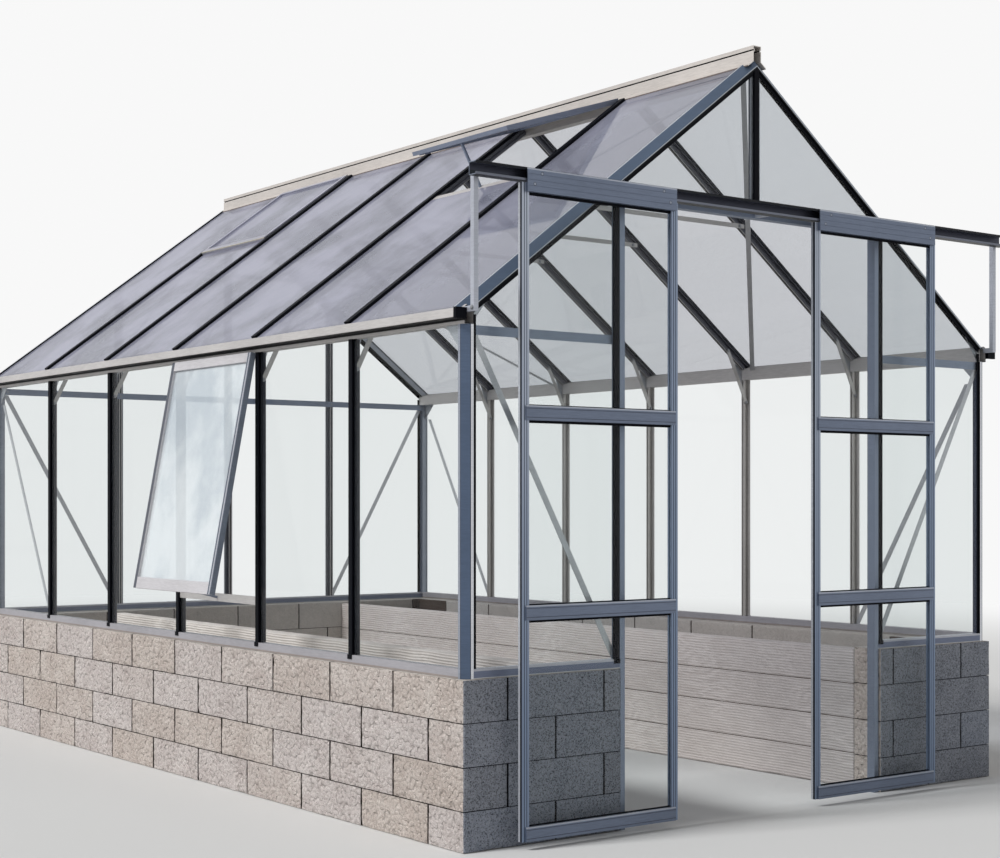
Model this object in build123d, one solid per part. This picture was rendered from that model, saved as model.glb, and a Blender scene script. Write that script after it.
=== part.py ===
from build123d import *
import math
import os

# Glass greenhouse with aluminium bars on a low block wall.
# Millimetres. X runs across the gables, Y along the ridge to the rear, Z up.
# The origin is the middle of the rear wall's underside, so the doorway faces -Y.

# Block walls and the two planting beds inside them
wall_width = 2920
wall_height = 610
wall_thickness = 150
wall_end_margin = 10
doorway_width = 1450
bed_wall_thickness = 90
bed_wall_drop = 10

# Frame lines
side_bays = 6
side_bay = 740
post_size = 40
post_wall = 3
post_chamfer = 24
frame_inset = 16
sill_height = 35
sill_wall = 3
eave_height = 1925
eave_beam_depth = 60
eave_beam_width = 40
eave_beam_wall = 3
roof_rise = 1085

# Glazing bars with their bolt channels, the caps and the glass
glass_setback = 12
glass_thickness = 4
glass_bite = 6
bar_flange_width = 54
bar_flange_thickness = 3
bar_web_thickness = 5
bolt_channel_width = 18
bolt_channel_depth = 13
bolt_channel_wall = 2.5
bolt_slot = 8
rafter_flange_width = 28
rafter_depth = 32
gable_rafter_chamfer = 30
stem_width = 3
pane_gap = 7
wall_cap_width = 28
roof_cap_width = 34
roof_cap_height = 12
cap_chamfer = 2

# Gutter, ridge and what covers them
gutter_width = 46
gutter_height = 34
gutter_lift = 18
gutter_wall = 3
gutter_lip = 5
gutter_cap_thickness = 14
glass_overhang = 22
ridge_beam_width = 40
ridge_beam_depth = 62
ridge_skirt = 62
ridge_cap_thickness = 3
ridge_roll_width = 44
ridge_roll_rise = 55
ridge_roll_edge = 16
ridge_groove_height = 5
ridge_groove_depth = 5

# Gable uprights and the doorway
jamb_bar_width = 25
jamb_bar_depth = 40
header_below_rail = 3
doorway_header_height = 38
tie_height = 34
tie_thickness = 4
tie_below_eave = 79

# Flat bars and plates bolted inside the frame
brace_width = 24
brace_thickness = 3
knee_width = 20
knee_thickness = 4
knee_drop = 115
knee_reach = 130
collar_below_ridge = 503
collar_depth = 20
gusset_thickness = 3
gusset_leg = 95
roof_brace_bays = 2

# Roof vents and the side window; bay 0 is the one beside the doorway
vent_bay_indexes = (1, 4)
vent_open_angles = (19, 0)
vent_length = 605
vent_rail = 26
vent_lower_rail = 34
vent_depth = 22
vent_side_clearance = 4
window_bay_index = 2
window_open_angle = 10.8
low_pane_height = 156
window_side_play = 4
window_stile = 26
window_head = 40
window_foot = 50
window_depth = 24
transom_height = 34
stay_size = 10

# Sliding doors, shown partly open, and the rail that carries them
door_width = 745
door_meeting_gap = 6
left_door_travel = 512
right_door_travel = 234
door_bottom = 30
door_stile = 32
door_depth = 22
door_wall = 2
door_header_height = 83
door_front_inset = 16
door_header_proud = 14
door_header_plate = 4
door_header_lap = 45
door_rail_height = 53
door_bottom_rail = 52
door_upper_rail_middle = 1553
door_lower_rail_middle = 842
door_rail_proud = 7
door_groove_width = 3
door_groove_depth = 1.5
header_front_offset = 96
rail_above_eave = 450
rail_overhang = 21
rail_height = 48
rail_back_offset = 45
rail_wall = 3
rail_lip = 9
strut_size = 20
roller_radius = 11
roller_width = 7
roller_pin_radius = 3.5
roller_inset = 90
roller_clearance = 0.3
wheel_gap = 1
running_gap = 5

# Worked out from the sizes above
half_wall = wall_width / 2
half_frame = half_wall - frame_inset
half_doorway = doorway_width / 2
frame_length = side_bays * side_bay + post_size
wall_length = frame_length + 2 * wall_end_margin
wall_rear = wall_thickness / 2
wall_front = wall_rear - wall_length
path_rear = wall_rear - wall_thickness
path_front = wall_front + wall_thickness
frame_rear = wall_rear - wall_end_margin
frame_front = wall_front + wall_end_margin
frame_middle = (frame_front + frame_rear) / 2
wall_cap_height = glass_setback - glass_thickness
glass_face = half_frame - glass_setback
glass_front = frame_front + glass_setback
glass_rear = frame_rear - glass_setback
post_face = half_frame - post_size
bar_depth = post_size - glass_setback
eave_beam_bottom = eave_height - eave_beam_depth
gutter_bottom = eave_beam_bottom + gutter_lift
gutter_top = gutter_bottom + gutter_height
sill_top = wall_height + sill_height
tie_middle = eave_height - tie_below_eave
pitch = math.atan2(roof_rise, half_frame)
ridge_height = eave_height + roof_rise
slope_length = math.hypot(roof_rise, half_frame)
collar_height = ridge_height - collar_below_ridge
gable_line = (half_frame - post_size / 2) / 2
vent_end = slope_length - ridge_skirt
vent_start = vent_end - vent_length
transom_bottom = sill_top + low_pane_height
window_height = eave_beam_bottom - transom_bottom - transom_height
rail_bottom = eave_height + rail_above_eave
rail_back = wall_front - rail_back_offset
rail_half_length = half_frame + rail_overhang
doorway_header_bottom = rail_bottom - header_below_rail
header_front = wall_front - header_front_offset
door_front = header_front + door_header_proud
door_back = door_front + door_depth
door_top = rail_bottom + door_header_lap
left_door_edge = -door_meeting_gap / 2 - door_width - left_door_travel
right_door_edge = door_meeting_gap / 2 + right_door_travel


def frame_line(index):
    """Y of a frame's middle: 0 is the front gable, side_bays the rear one."""
    return frame_front + post_size / 2 + index * side_bay


def slab(x, y, z):
    """Box between two limits on each axis."""
    size = [high - low for low, high in (x, y, z)]
    middle = [(high + low) / 2 for low, high in (x, y, z)]
    return Pos(*middle) * Box(*size)


def along_y(points, y):
    """Outline given as X and Z, drawn out between two values of Y."""
    outline = Plane.XZ * make_face(Polyline(*points, close=True))
    return Pos(0, y[1], 0) * extrude(outline, y[1] - y[0])


def both_sides(solid):
    """A solid and its mirror image across the ridge line."""
    return [solid, mirror(solid, Plane.YZ)]


def roof_height(x, inward=0):
    """Height of the glass underside over x, or of a plane inward of it."""
    return ridge_height - abs(x) * math.tan(pitch) - inward / math.cos(pitch)


def roof_plane(y):
    """Right slope: local X along the ridge, local Y inward, local Z up the slope."""
    return Plane(
        origin=(half_frame, y, eave_height),
        x_dir=(0, 1, 0),
        z_dir=(-math.cos(pitch), 0, math.sin(pitch)),
    )


def side_plane(y):
    """Right wall: local X along the wall, local Y inward, local Z up."""
    return Plane(origin=(glass_face, y, sill_top), x_dir=(0, 1, 0), z_dir=(0, 0, 1))


def gable_plane(x, rear=False):
    """Gable: local Y inward, local Z up."""
    if rear:
        return Plane(origin=(x, glass_rear, sill_top), x_dir=(-1, 0, 0), z_dir=(0, 0, 1))
    return Plane(origin=(x, glass_front, sill_top), x_dir=(1, 0, 0), z_dir=(0, 0, 1))


def bar_section(depth, width=bar_flange_width):
    """Glazing bar: flange under the glass, stem between the panes, web and inner bolt channel."""
    flange = Pos(0, bar_flange_thickness / 2) * Rectangle(width, bar_flange_thickness)
    stem = Pos(0, -glass_thickness / 2) * Rectangle(stem_width, glass_thickness)
    web = Pos(0, depth / 2) * Rectangle(bar_web_thickness, depth)
    channel = Pos(0, depth - bolt_channel_depth / 2) * Rectangle(bolt_channel_width, bolt_channel_depth)
    bore_width = bolt_channel_width - 2 * bolt_channel_wall
    bore_depth = bolt_channel_depth - 2 * bolt_channel_wall
    bore = Pos(0, depth - bolt_channel_depth / 2) * Rectangle(bore_width, bore_depth)
    slot = Pos(0, depth - bolt_channel_wall) * Rectangle(bolt_slot, 2 * bolt_channel_wall)
    return (flange + stem + web + channel) - bore - slot


def cap_section(width, height):
    """Snap-on cap over the joint between two panes, with its outer edges cut back."""
    base = -glass_thickness
    top = base - height
    half = width / 2
    points = [
        (-half, base),
        (-half, top + cap_chamfer),
        (-half + cap_chamfer, top),
        (half - cap_chamfer, top),
        (half, top + cap_chamfer),
        (half, base),
    ]
    return make_face(Polyline(*points, close=True))


def edge_tube_section(chamfer):
    """Square tube towards +X +Y with the corner at the origin cut off wide."""
    corner = post_wall * (2 - math.sqrt(2))
    rings = []
    for low, high, cut in ((0, post_size, chamfer), (post_wall, post_size - post_wall, chamfer - corner)):
        points = [(low, low + cut), (low + cut, low), (high, low), (high, high), (low, high)]
        rings.append(make_face(Polyline(*points, close=True)))
    return rings[0] - rings[1]


def under_roof(solid, inward):
    """Cut a solid off under a plane that lies inward of the glass on both slopes."""
    reach = half_frame + gutter_width
    points = [
        (-reach, 0),
        (-reach, roof_height(reach, inward)),
        (0, roof_height(0, inward)),
        (reach, roof_height(reach, inward)),
        (reach, 0),
    ]
    return solid & along_y(points, (frame_front - post_size, frame_rear + post_size))


# Block walls


def masonry():
    side = slab((half_wall - wall_thickness, half_wall), (wall_front, wall_rear), (0, wall_height))
    inner = half_wall - wall_thickness
    rear = slab((-inner, inner), (path_rear, wall_rear), (0, wall_height))
    stub = slab((half_doorway, inner), (wall_front, path_front), (0, wall_height))
    bed_x = (half_doorway, half_doorway + bed_wall_thickness)
    bed = slab(bed_x, (path_front, path_rear), (0, wall_height - bed_wall_drop))
    right, left = both_sides(side)
    front_right, front_left = both_sides(stub)
    bed_right, bed_left = both_sides(bed)
    return {
        "left_wall": left,
        "right_wall": right,
        "rear_wall": rear,
        "front_wall_left": front_left,
        "front_wall_right": front_right,
        "left_bed_wall": bed_left,
        "right_bed_wall": bed_right,
    }


def sills():
    """Sill channels on the wall tops, under the glass and as deep as the posts."""

    def channel(length):
        outer = Rectangle(post_size, sill_height)
        cavity = Rectangle(post_size - 2 * sill_wall, sill_height - sill_wall)
        section = outer - Pos(0, -sill_wall / 2) * cavity
        return extrude(Plane.XZ * section, length / 2, both=True)

    middle = (wall_height + sill_top) / 2
    across = Rot(0, 0, 90)
    side_x = half_frame - post_size / 2
    side = Pos(side_x, frame_middle, middle) * channel(frame_length - 2 * post_size)
    rear = Pos(0, frame_rear - post_size / 2, middle) * across * channel(2 * post_face)
    stub = Pos((post_face + half_doorway) / 2, frame_front + post_size / 2, middle)
    front = stub * across * channel(post_face - half_doorway)
    return {"side_sills": both_sides(side), "gable_sills": [rear, *both_sides(front)]}


# Posts, beams and rafters


def eave_beam_points():
    """Eave beam with its gutter, one extrusion, as X and Z on the right side."""
    inner = half_frame - eave_beam_width
    outer = half_frame + gutter_width
    top = gutter_top
    return [
        (inner, eave_beam_bottom),
        (half_frame, eave_beam_bottom),
        (half_frame, gutter_bottom),
        (outer - gutter_wall, gutter_bottom),
        (outer, gutter_bottom + gutter_wall),
        (outer, top),
        (outer - gutter_wall - gutter_lip, top),
        (outer - gutter_wall - gutter_lip, top - gutter_wall),
        (outer - gutter_wall, top - gutter_wall),
        (outer - gutter_wall, gutter_bottom + gutter_wall),
        (half_frame, gutter_bottom + gutter_wall),
        (half_frame, eave_height),
        (glass_face, roof_height(glass_face)),
        (glass_face, eave_height),
        (inner, eave_height),
    ]


def eave_beam():
    wall = eave_beam_wall
    inner = half_frame - eave_beam_width
    bore_points = [
        (inner + wall, eave_beam_bottom + wall),
        (half_frame - wall, eave_beam_bottom + wall),
        (half_frame - wall, eave_height - wall),
        (inner + wall, eave_height - wall),
    ]
    ends = (frame_front, frame_rear)
    return along_y(eave_beam_points(), ends) - along_y(bore_points, ends)


def gutter_end_caps():
    lip = half_frame + gutter_width
    rise = (gutter_bottom - gutter_wall, gutter_top + gutter_wall)
    front = slab((half_frame, lip + gutter_wall), (frame_front - gutter_cap_thickness, frame_front), rise)
    rear = slab((half_frame, lip + gutter_wall), (frame_rear, frame_rear + gutter_cap_thickness), rise)
    return both_sides(front) + both_sides(rear)


def corner_posts():
    tube = extrude(edge_tube_section(post_chamfer), eave_beam_bottom - wall_height)
    front_left = Pos(-half_frame, frame_front, wall_height) * tube
    rear_left = mirror(front_left, Plane.XZ.offset(-frame_middle))
    return both_sides(front_left) + both_sides(rear_left)


def ridge_beam():
    half = ridge_beam_width / 2
    wall = post_wall
    bottom = ridge_height - ridge_beam_depth
    outer = [
        (-half, bottom),
        (-half, roof_height(half)),
        (0, ridge_height),
        (half, roof_height(half)),
        (half, bottom),
    ]
    bore = [
        (-half + wall, bottom + wall),
        (-half + wall, roof_height(half - wall, wall)),
        (0, roof_height(0, wall)),
        (half - wall, roof_height(half - wall, wall)),
        (half - wall, bottom + wall),
    ]
    ends = (frame_front + post_size, frame_rear - post_size)
    return along_y(outer, ends) - along_y(bore, ends)


def ridge_cap():
    """Folded sheet on the glass of both slopes, its raised hollow roll grooved under the top."""
    out = -glass_thickness
    over = out - ridge_cap_thickness
    skirt_end = ridge_skirt * math.cos(pitch)
    half = ridge_roll_width / 2
    wall = ridge_cap_thickness
    bore = half - wall
    top = ridge_height + ridge_roll_rise
    edge = top - ridge_roll_edge
    groove = edge - ridge_groove_height
    right = [
        (bore, top - wall),
        (bore, edge + wall),
        (bore - ridge_groove_depth, edge + wall),
        (bore - ridge_groove_depth, groove - wall),
        (bore, groove - wall),
        (bore, roof_height(bore, out)),
        (skirt_end, roof_height(skirt_end, out)),
        (skirt_end, roof_height(skirt_end, over)),
        (half, roof_height(half, over)),
        (half, groove),
        (half - ridge_groove_depth, groove),
        (half - ridge_groove_depth, edge),
        (half, edge),
        (half, top),
    ]
    left = [(-x, z) for x, z in reversed(right)]
    return along_y(right + left, (frame_front, frame_rear))


def side_posts():
    section = bar_section(bar_depth)
    height = eave_beam_bottom - sill_top
    bars = [extrude(side_plane(frame_line(i)) * section, height) for i in range(1, side_bays)]
    return [half for bar in bars for half in both_sides(bar)]


def rafters():
    """Inner rafters, cut off at the ridge beam and seated on the eave beam."""
    section = bar_section(rafter_depth, rafter_flange_width)
    filled_beam = along_y(eave_beam_points(), (frame_front, frame_rear))
    room = slab(
        (ridge_beam_width / 2, glass_face),
        (frame_front, frame_rear),
        (eave_beam_bottom, ridge_height),
    )
    bars = [extrude(roof_plane(frame_line(i)) * section, slope_length) for i in range(1, side_bays)]
    return [half for bar in bars for half in both_sides((bar & room) - filled_beam)]


def gable_rafters():
    """Tube along each gable edge, from the eave beam to the ridge, its outer corner cut off."""
    section = Pos(-post_size / 2, -glass_setback) * edge_tube_section(gable_rafter_chamfer)
    end = half_frame + glass_overhang
    room = slab((0, end), (frame_front, frame_rear), (eave_beam_bottom, ridge_height))
    filled_beam = along_y(eave_beam_points(), (frame_front, frame_rear))
    skirt = ridge_skirt * math.cos(pitch)
    under_cap = [
        (0, roof_height(0, -glass_thickness)),
        (skirt, roof_height(skirt, -glass_thickness)),
        (skirt, 2 * ridge_height),
        (0, 2 * ridge_height),
    ]
    cap_room = along_y(under_cap, (frame_front, frame_rear))
    tubes = []
    for index, face in ((0, section), (side_bays, mirror(section, Plane.YZ))):
        start = roof_plane(frame_line(index)).offset(-2 * post_size)
        tube = extrude(start * face, slope_length + 4 * post_size)
        cut = (tube & room) - filled_beam - cap_room
        tubes.append(cut.solids().sort_by(SortBy.VOLUME)[-1])
    return tubes


def gable_bar(x, bottom, rear=False, section=None):
    """Upright in a gable, cut off under the gable rafter."""
    section = section or bar_section(bar_depth)
    bar = Pos(0, 0, bottom - sill_top) * extrude(gable_plane(x, rear) * section, ridge_height - bottom)
    return under_roof(bar, post_size - glass_setback)


def door_jambs():
    """Jamb bar from the ground up the wall's end, with a flange behind the side pane."""
    low = slab(
        (half_doorway - jamb_bar_width, half_doorway),
        (frame_front, frame_front + jamb_bar_depth),
        (0, ridge_height),
    )
    flange = slab(
        (half_doorway, half_doorway + bar_flange_width / 2),
        (glass_front, glass_front + bar_flange_thickness),
        (sill_top, ridge_height),
    )
    return both_sides(under_roof(low + flange, post_size - glass_setback))


def gable_posts():
    rear = [gable_bar(x, sill_top, rear=True) for x in (-gable_line, 0, gable_line)]
    front = gable_bar(0, doorway_header_bottom + doorway_header_height)
    return [*rear, front]


def gable_ties():
    """Doorway header, short ties beside it and the long tie inside the rear gable."""
    z = (tie_middle - tie_height / 2, tie_middle + tie_height / 2)
    inner = half_doorway - jamb_bar_width
    header = slab(
        (-inner, inner),
        (frame_front, frame_front + post_size - bar_flange_thickness),
        (doorway_header_bottom, doorway_header_bottom + doorway_header_height),
    )
    front_y = glass_front + bar_flange_thickness
    short = slab((half_doorway, post_face), (front_y, front_y + tie_thickness), z)
    rear_y = glass_rear - bar_depth
    rear = slab((-post_face, post_face), (rear_y - tie_thickness, rear_y), z)
    return [header, *both_sides(short), rear]


# Caps over the glazing bars


def bar_caps():
    roof = []
    stop = slope_length - ridge_skirt
    section = cap_section(roof_cap_width, roof_cap_height)
    for index in range(1, side_bays):
        start = roof_plane(frame_line(index)).offset(-glass_overhang / 2)
        roof += both_sides(extrude(start * section, stop + glass_overhang / 2))
    height = eave_beam_bottom - sill_top
    section = cap_section(wall_cap_width, wall_cap_height)
    walls = []
    for index in range(1, side_bays):
        walls += both_sides(extrude(side_plane(frame_line(index)) * section, height))
    for x in (-gable_line, 0, gable_line):
        walls.append(gable_bar(x, sill_top, rear=True, section=section))
    header_top = doorway_header_bottom + doorway_header_height
    walls.append(gable_bar(0, header_top, section=section))
    walls += both_sides(gable_bar(half_doorway + wall_cap_width / 2, sill_top, section=section))
    return {"roof_bar_caps": roof, "wall_bar_caps": walls}


# Flat bars and plates inside the frame


def flat_bar(start, end, width, thickness, plane):
    """Flat bar between two points of a plane, its thickness along the plane's normal."""
    dx, dy = end[0] - start[0], end[1] - start[1]
    length = math.hypot(dx, dy)
    angle = math.degrees(math.atan2(dy, dx))
    middle = Pos((start[0] + end[0]) / 2, (start[1] + end[1]) / 2)
    return extrude(plane * middle * Rot(0, 0, angle) * Rectangle(length, width), thickness)


def wall_braces():
    """Diagonals from the sill to the eaves: all gable end bays, right wall, left wall's rear bay."""
    web = bar_web_thickness / 2
    foot = sill_top
    top = tie_middle - tie_height / 2
    inward = bar_flange_thickness

    def brace(plane, low, high, limits):
        """Flat bar from low at the sill to high at the top, trimmed to a bay."""
        start, end = (low, foot - brace_width), (high, top + brace_width)
        return flat_bar(start, end, brace_width, brace_thickness, plane) & slab(*limits)

    y = (glass_front + inward, glass_front + inward + brace_thickness)
    front = Plane(origin=(0, y[1], 0), x_dir=(1, 0, 0), z_dir=(0, -1, 0))
    front_bay = brace(front, half_doorway, post_face, ((half_doorway, post_face), y, (foot, top)))

    y = (glass_rear - inward - brace_thickness, glass_rear - inward)
    rear = Plane(origin=(0, y[1], 0), x_dir=(1, 0, 0), z_dir=(0, -1, 0))
    low = gable_line + web
    rear_bay = brace(rear, low, post_face, ((low, post_face), y, (foot, top)))

    x = (glass_face - inward - brace_thickness, glass_face - inward)
    side = Plane(origin=(x[0], 0, 0), x_dir=(0, 1, 0), z_dir=(1, 0, 0))
    near = (frame_front + post_size, frame_line(1) - web)
    far = (frame_line(side_bays - 1) + web, frame_rear - post_size)
    limit_z = (foot, eave_beam_bottom - gusset_leg)
    side_front = brace(side, near[1], near[0], (x, near, limit_z))
    side_rear = brace(side, far[0], far[1], (x, far, limit_z))
    return [*both_sides(front_bay), *both_sides(rear_bay), side_front, *both_sides(side_rear)]


def roof_braces():
    """Diagonals under the rafters, from each gable's apex to the eaves some bays further in."""
    plane = Plane(
        origin=(half_frame, 0, eave_height),
        x_dir=(0, 1, 0),
        z_dir=(math.sin(pitch), 0, math.cos(pitch)),
    ).offset(-rafter_depth - brace_thickness)
    room = slab(
        (ridge_beam_width / 2, half_frame - eave_beam_width),
        (frame_front + post_size, frame_rear - post_size),
        (eave_beam_bottom, ridge_height),
    )
    beside_frame = bar_flange_width / 2 + brace_width
    apex = (frame_line(0) + post_size, slope_length)
    foot = (frame_line(roof_brace_bays) - beside_frame, 0)
    front = flat_bar(apex, foot, brace_width, brace_thickness, plane) & room
    rear = mirror(front, Plane.XZ.offset(-frame_middle))
    return [*both_sides(front), *both_sides(rear)]


def frame_bracing():
    """Collar ties, knee braces and gusset plates, bolted beside the five inner frames."""
    collars, knees, gussets = [], [], []
    beside = bolt_channel_width / 2
    post_inner = glass_face - bar_depth
    beam_inner = half_frame - eave_beam_width
    for index in range(1, side_bays):
        y = frame_line(index)
        near = (y - beside - knee_thickness, y - beside)
        far = (y + beside, y + beside + gusset_thickness)
        half = (ridge_height - collar_height) / math.tan(pitch)
        tie = slab((-half, half), near, (collar_height - collar_depth, collar_height))
        collars.append(under_roof(tie, bar_flange_thickness))
        foot = (post_inner + bar_depth / 2, eave_beam_bottom - knee_drop)
        knee_x = foot[0] - knee_reach
        head = (knee_x, roof_height(knee_x, rafter_depth - bolt_channel_depth / 2))
        plane = Plane(origin=(0, near[1], 0), x_dir=(1, 0, 0), z_dir=(0, -1, 0))
        knees += both_sides(flat_bar(foot, head, knee_width, knee_thickness, plane))
        end = beam_inner - gusset_leg / 2
        low = eave_beam_bottom - gusset_leg / 2
        points = [
            (glass_face - bar_flange_thickness, eave_beam_bottom),
            (glass_face - bar_flange_thickness, low),
            (post_inner, low),
            (end, roof_height(end, rafter_depth)),
            (end, roof_height(end, bar_flange_thickness)),
            (beam_inner, roof_height(beam_inner, bar_flange_thickness)),
            (beam_inner, eave_beam_bottom),
        ]
        gussets += both_sides(along_y(points, far))
    return {"collar_ties": collars, "knee_braces": knees, "gusset_plates": gussets + corner_gussets()}


def corner_gussets():
    """Triangular plates beside the corner posts, under the eave beams and in the front gable."""
    outer = glass_face - bar_flange_thickness
    front = frame_front + post_size
    points = [
        (front, eave_beam_bottom),
        (front, eave_beam_bottom - gusset_leg),
        (front + gusset_leg, eave_beam_bottom),
    ]
    outline = Plane.YZ * make_face(Polyline(*points, close=True))
    plate = Pos(outer - gusset_thickness, 0, 0) * extrude(outline, gusset_thickness)
    sides = both_sides(plate) + both_sides(mirror(plate, Plane.XZ.offset(-frame_middle)))
    inward = post_size - glass_setback
    end = post_face - gusset_leg
    points = [
        (post_face, tie_middle + tie_height / 2),
        (post_face, roof_height(post_face, inward)),
        (end, roof_height(end, inward)),
    ]
    y = glass_front + bar_flange_thickness
    return sides + both_sides(along_y(points, (y, y + gusset_thickness)))


# Glass


def bay_span(index, clear=pane_gap / 2):
    """Ends along Y of a pane in a side bay, let into the posts at the gables."""
    low = frame_line(index) + clear
    high = frame_line(index + 1) - clear
    if index == 0:
        low = frame_front + post_size - glass_bite
    if index == side_bays - 1:
        high = frame_rear - post_size + glass_bite
    return low, high


def wall_glass():
    x = (glass_face, glass_face + glass_thickness)
    right = [slab(x, bay_span(i), (sill_top, eave_beam_bottom)) for i in range(side_bays)]
    left = [mirror(pane, Plane.YZ) for pane in right]
    below = (sill_top, transom_bottom)
    left[window_bay_index] = slab((-x[1], -x[0]), bay_span(window_bay_index), below)
    return {"left_wall_glass": left, "right_wall_glass": right}


def gable_glass():
    inward = post_size - glass_setback
    header_top = doorway_header_bottom + doorway_header_height
    gap = pane_gap / 2
    front_y = (glass_front - glass_thickness, glass_front)
    rear_y = (glass_rear, glass_rear + glass_thickness)
    side = slab((half_doorway, post_face + glass_bite), front_y, (sill_top, ridge_height))
    over = slab((gap, half_doorway - jamb_bar_width), front_y, (header_top, ridge_height))
    beam = along_y(eave_beam_points(), (frame_front, frame_rear))
    front = [under_roof(pane, inward) - beam for pane in (side, over)]
    outer = slab((gable_line + gap, post_face + glass_bite), rear_y, (sill_top, ridge_height))
    middle = slab((gap, gable_line - gap), rear_y, (sill_top, ridge_height))
    rear = [under_roof(pane, inward) - beam for pane in (outer, middle)]
    return {
        "front_gable_glass": [half for pane in front for half in both_sides(pane)],
        "rear_gable_glass": [half for pane in rear for half in both_sides(pane)],
    }


def roof_pane(index, end):
    low, high = bay_span(index)
    if index == 0:
        low = frame_front + post_size
    if index == side_bays - 1:
        high = frame_rear - post_size
    plane = roof_plane((low + high) / 2).offset(-glass_overhang)
    section = Pos(0, -glass_thickness / 2) * Rectangle(high - low, glass_thickness)
    return extrude(plane * section, end + glass_overhang)


def roof_glass():
    full = slope_length - ridge_beam_width / 2
    right = [roof_pane(i, full) for i in range(side_bays)]
    left = []
    for index in range(side_bays):
        end = vent_start - vent_lower_rail if index in vent_bay_indexes else full
        left.append(mirror(roof_pane(index, end), Plane.YZ))
    return {"left_roof_glass": left, "right_roof_glass": right}


# Roof vents and the side window, on the left side


def slope_box(y, s, n):
    """Box on the right slope: Y limits, distance up the slope, height off the glass underside."""
    plane = roof_plane((y[0] + y[1]) / 2)
    section = Pos(0, -(n[0] + n[1]) / 2) * Rectangle(y[1] - y[0], n[1] - n[0])
    return extrude(plane.offset(s[0]) * section, s[1] - s[0])


def vent(index, angle):
    """Vent frame and pane on the left slope, turned open about its top edge."""
    half_cap = roof_cap_width / 2 + vent_side_clearance
    y = (frame_line(index) + half_cap, frame_line(index + 1) - half_cap)
    side_s = (vent_start, vent_end)
    left_rail = slope_box((y[0], y[0] + vent_rail), side_s, (0, vent_depth))
    right_rail = slope_box((y[1] - vent_rail, y[1]), side_s, (0, vent_depth))
    top_rail = slope_box(y, (vent_end - vent_rail, vent_end), (0, vent_depth))
    foot_s = (vent_start - vent_lower_rail, vent_start)
    foot = slope_box(y, foot_s, (glass_thickness, vent_depth))
    middle = vent_depth / 2
    pane_y = (y[0] + vent_rail - glass_bite, y[1] - vent_rail + glass_bite)
    pane_s = (vent_start - glass_bite, vent_end - vent_rail + glass_bite)
    pane_n = (middle - glass_thickness / 2, middle + glass_thickness / 2)
    pane = slope_box(pane_y, pane_s, pane_n)
    frame = (left_rail + right_rail + top_rail + foot) - pane
    hinge = roof_plane(0).offset(vent_end).location.position
    hinge += Vector(math.sin(pitch), 0, math.cos(pitch)) * vent_depth
    turn = Pos(*hinge) * Rot(0, -angle, 0) * Pos(*(-hinge))
    return [mirror(turn * piece, Plane.YZ) for piece in (frame, pane)]


def roof_vents():
    frames, panes = [], []
    for index, angle in zip(vent_bay_indexes, vent_open_angles):
        frame, pane = vent(index, angle)
        frames.append(frame)
        panes.append(pane)
    return {"roof_vent_frames": frames, "roof_vent_glass": panes}


def window_bay_span(clear):
    """Ends along Y of what fits in the window's bay, clear of its two frame lines."""
    return frame_line(window_bay_index) + clear, frame_line(window_bay_index + 1) - clear


def side_window():
    """Top-hung window in front of the left wall's posts, propped open."""
    y = window_bay_span(window_side_play)
    x = (-half_frame - window_depth, -half_frame)
    z = (eave_beam_bottom - window_height, eave_beam_bottom)
    outer = slab(x, y, z)
    light_y = (y[0] + window_stile, y[1] - window_stile)
    light_z = (z[0] + window_foot, z[1] - window_head)
    middle = sum(x) / 2
    pane_x = (middle - glass_thickness / 2, middle + glass_thickness / 2)
    bite = glass_bite
    pane = slab(pane_x, (light_y[0] - bite, light_y[1] + bite), (light_z[0] - bite, light_z[1] + bite))
    frame = outer - slab(x, light_y, light_z) - pane
    hinge = (x[0], 0, z[1])
    turn = Pos(*hinge) * Rot(0, window_open_angle, 0) * Pos(-hinge[0], 0, -hinge[2])
    return {"side_window_frame": turn * frame, "side_window_glass": turn * pane}


def opening_sills():
    """Cross bars under the roof vents and the transom under the side window."""
    solids = []
    for index in vent_bay_indexes:
        flange = rafter_flange_width / 2
        y = (frame_line(index) + flange, frame_line(index + 1) - flange)
        s = (vent_start - vent_lower_rail, vent_start)
        solids.append(mirror(slope_box(y, s, (-bar_depth / 2, glass_thickness)), Plane.YZ))
    z = (transom_bottom, transom_bottom + transom_height)
    face = slab((-glass_face - glass_thickness, -glass_face), window_bay_span(stem_width / 2), z)
    back = slab((-glass_face, -glass_face + bar_depth / 2), window_bay_span(bar_flange_width / 2), z)
    return [*solids, face + back]


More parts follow.
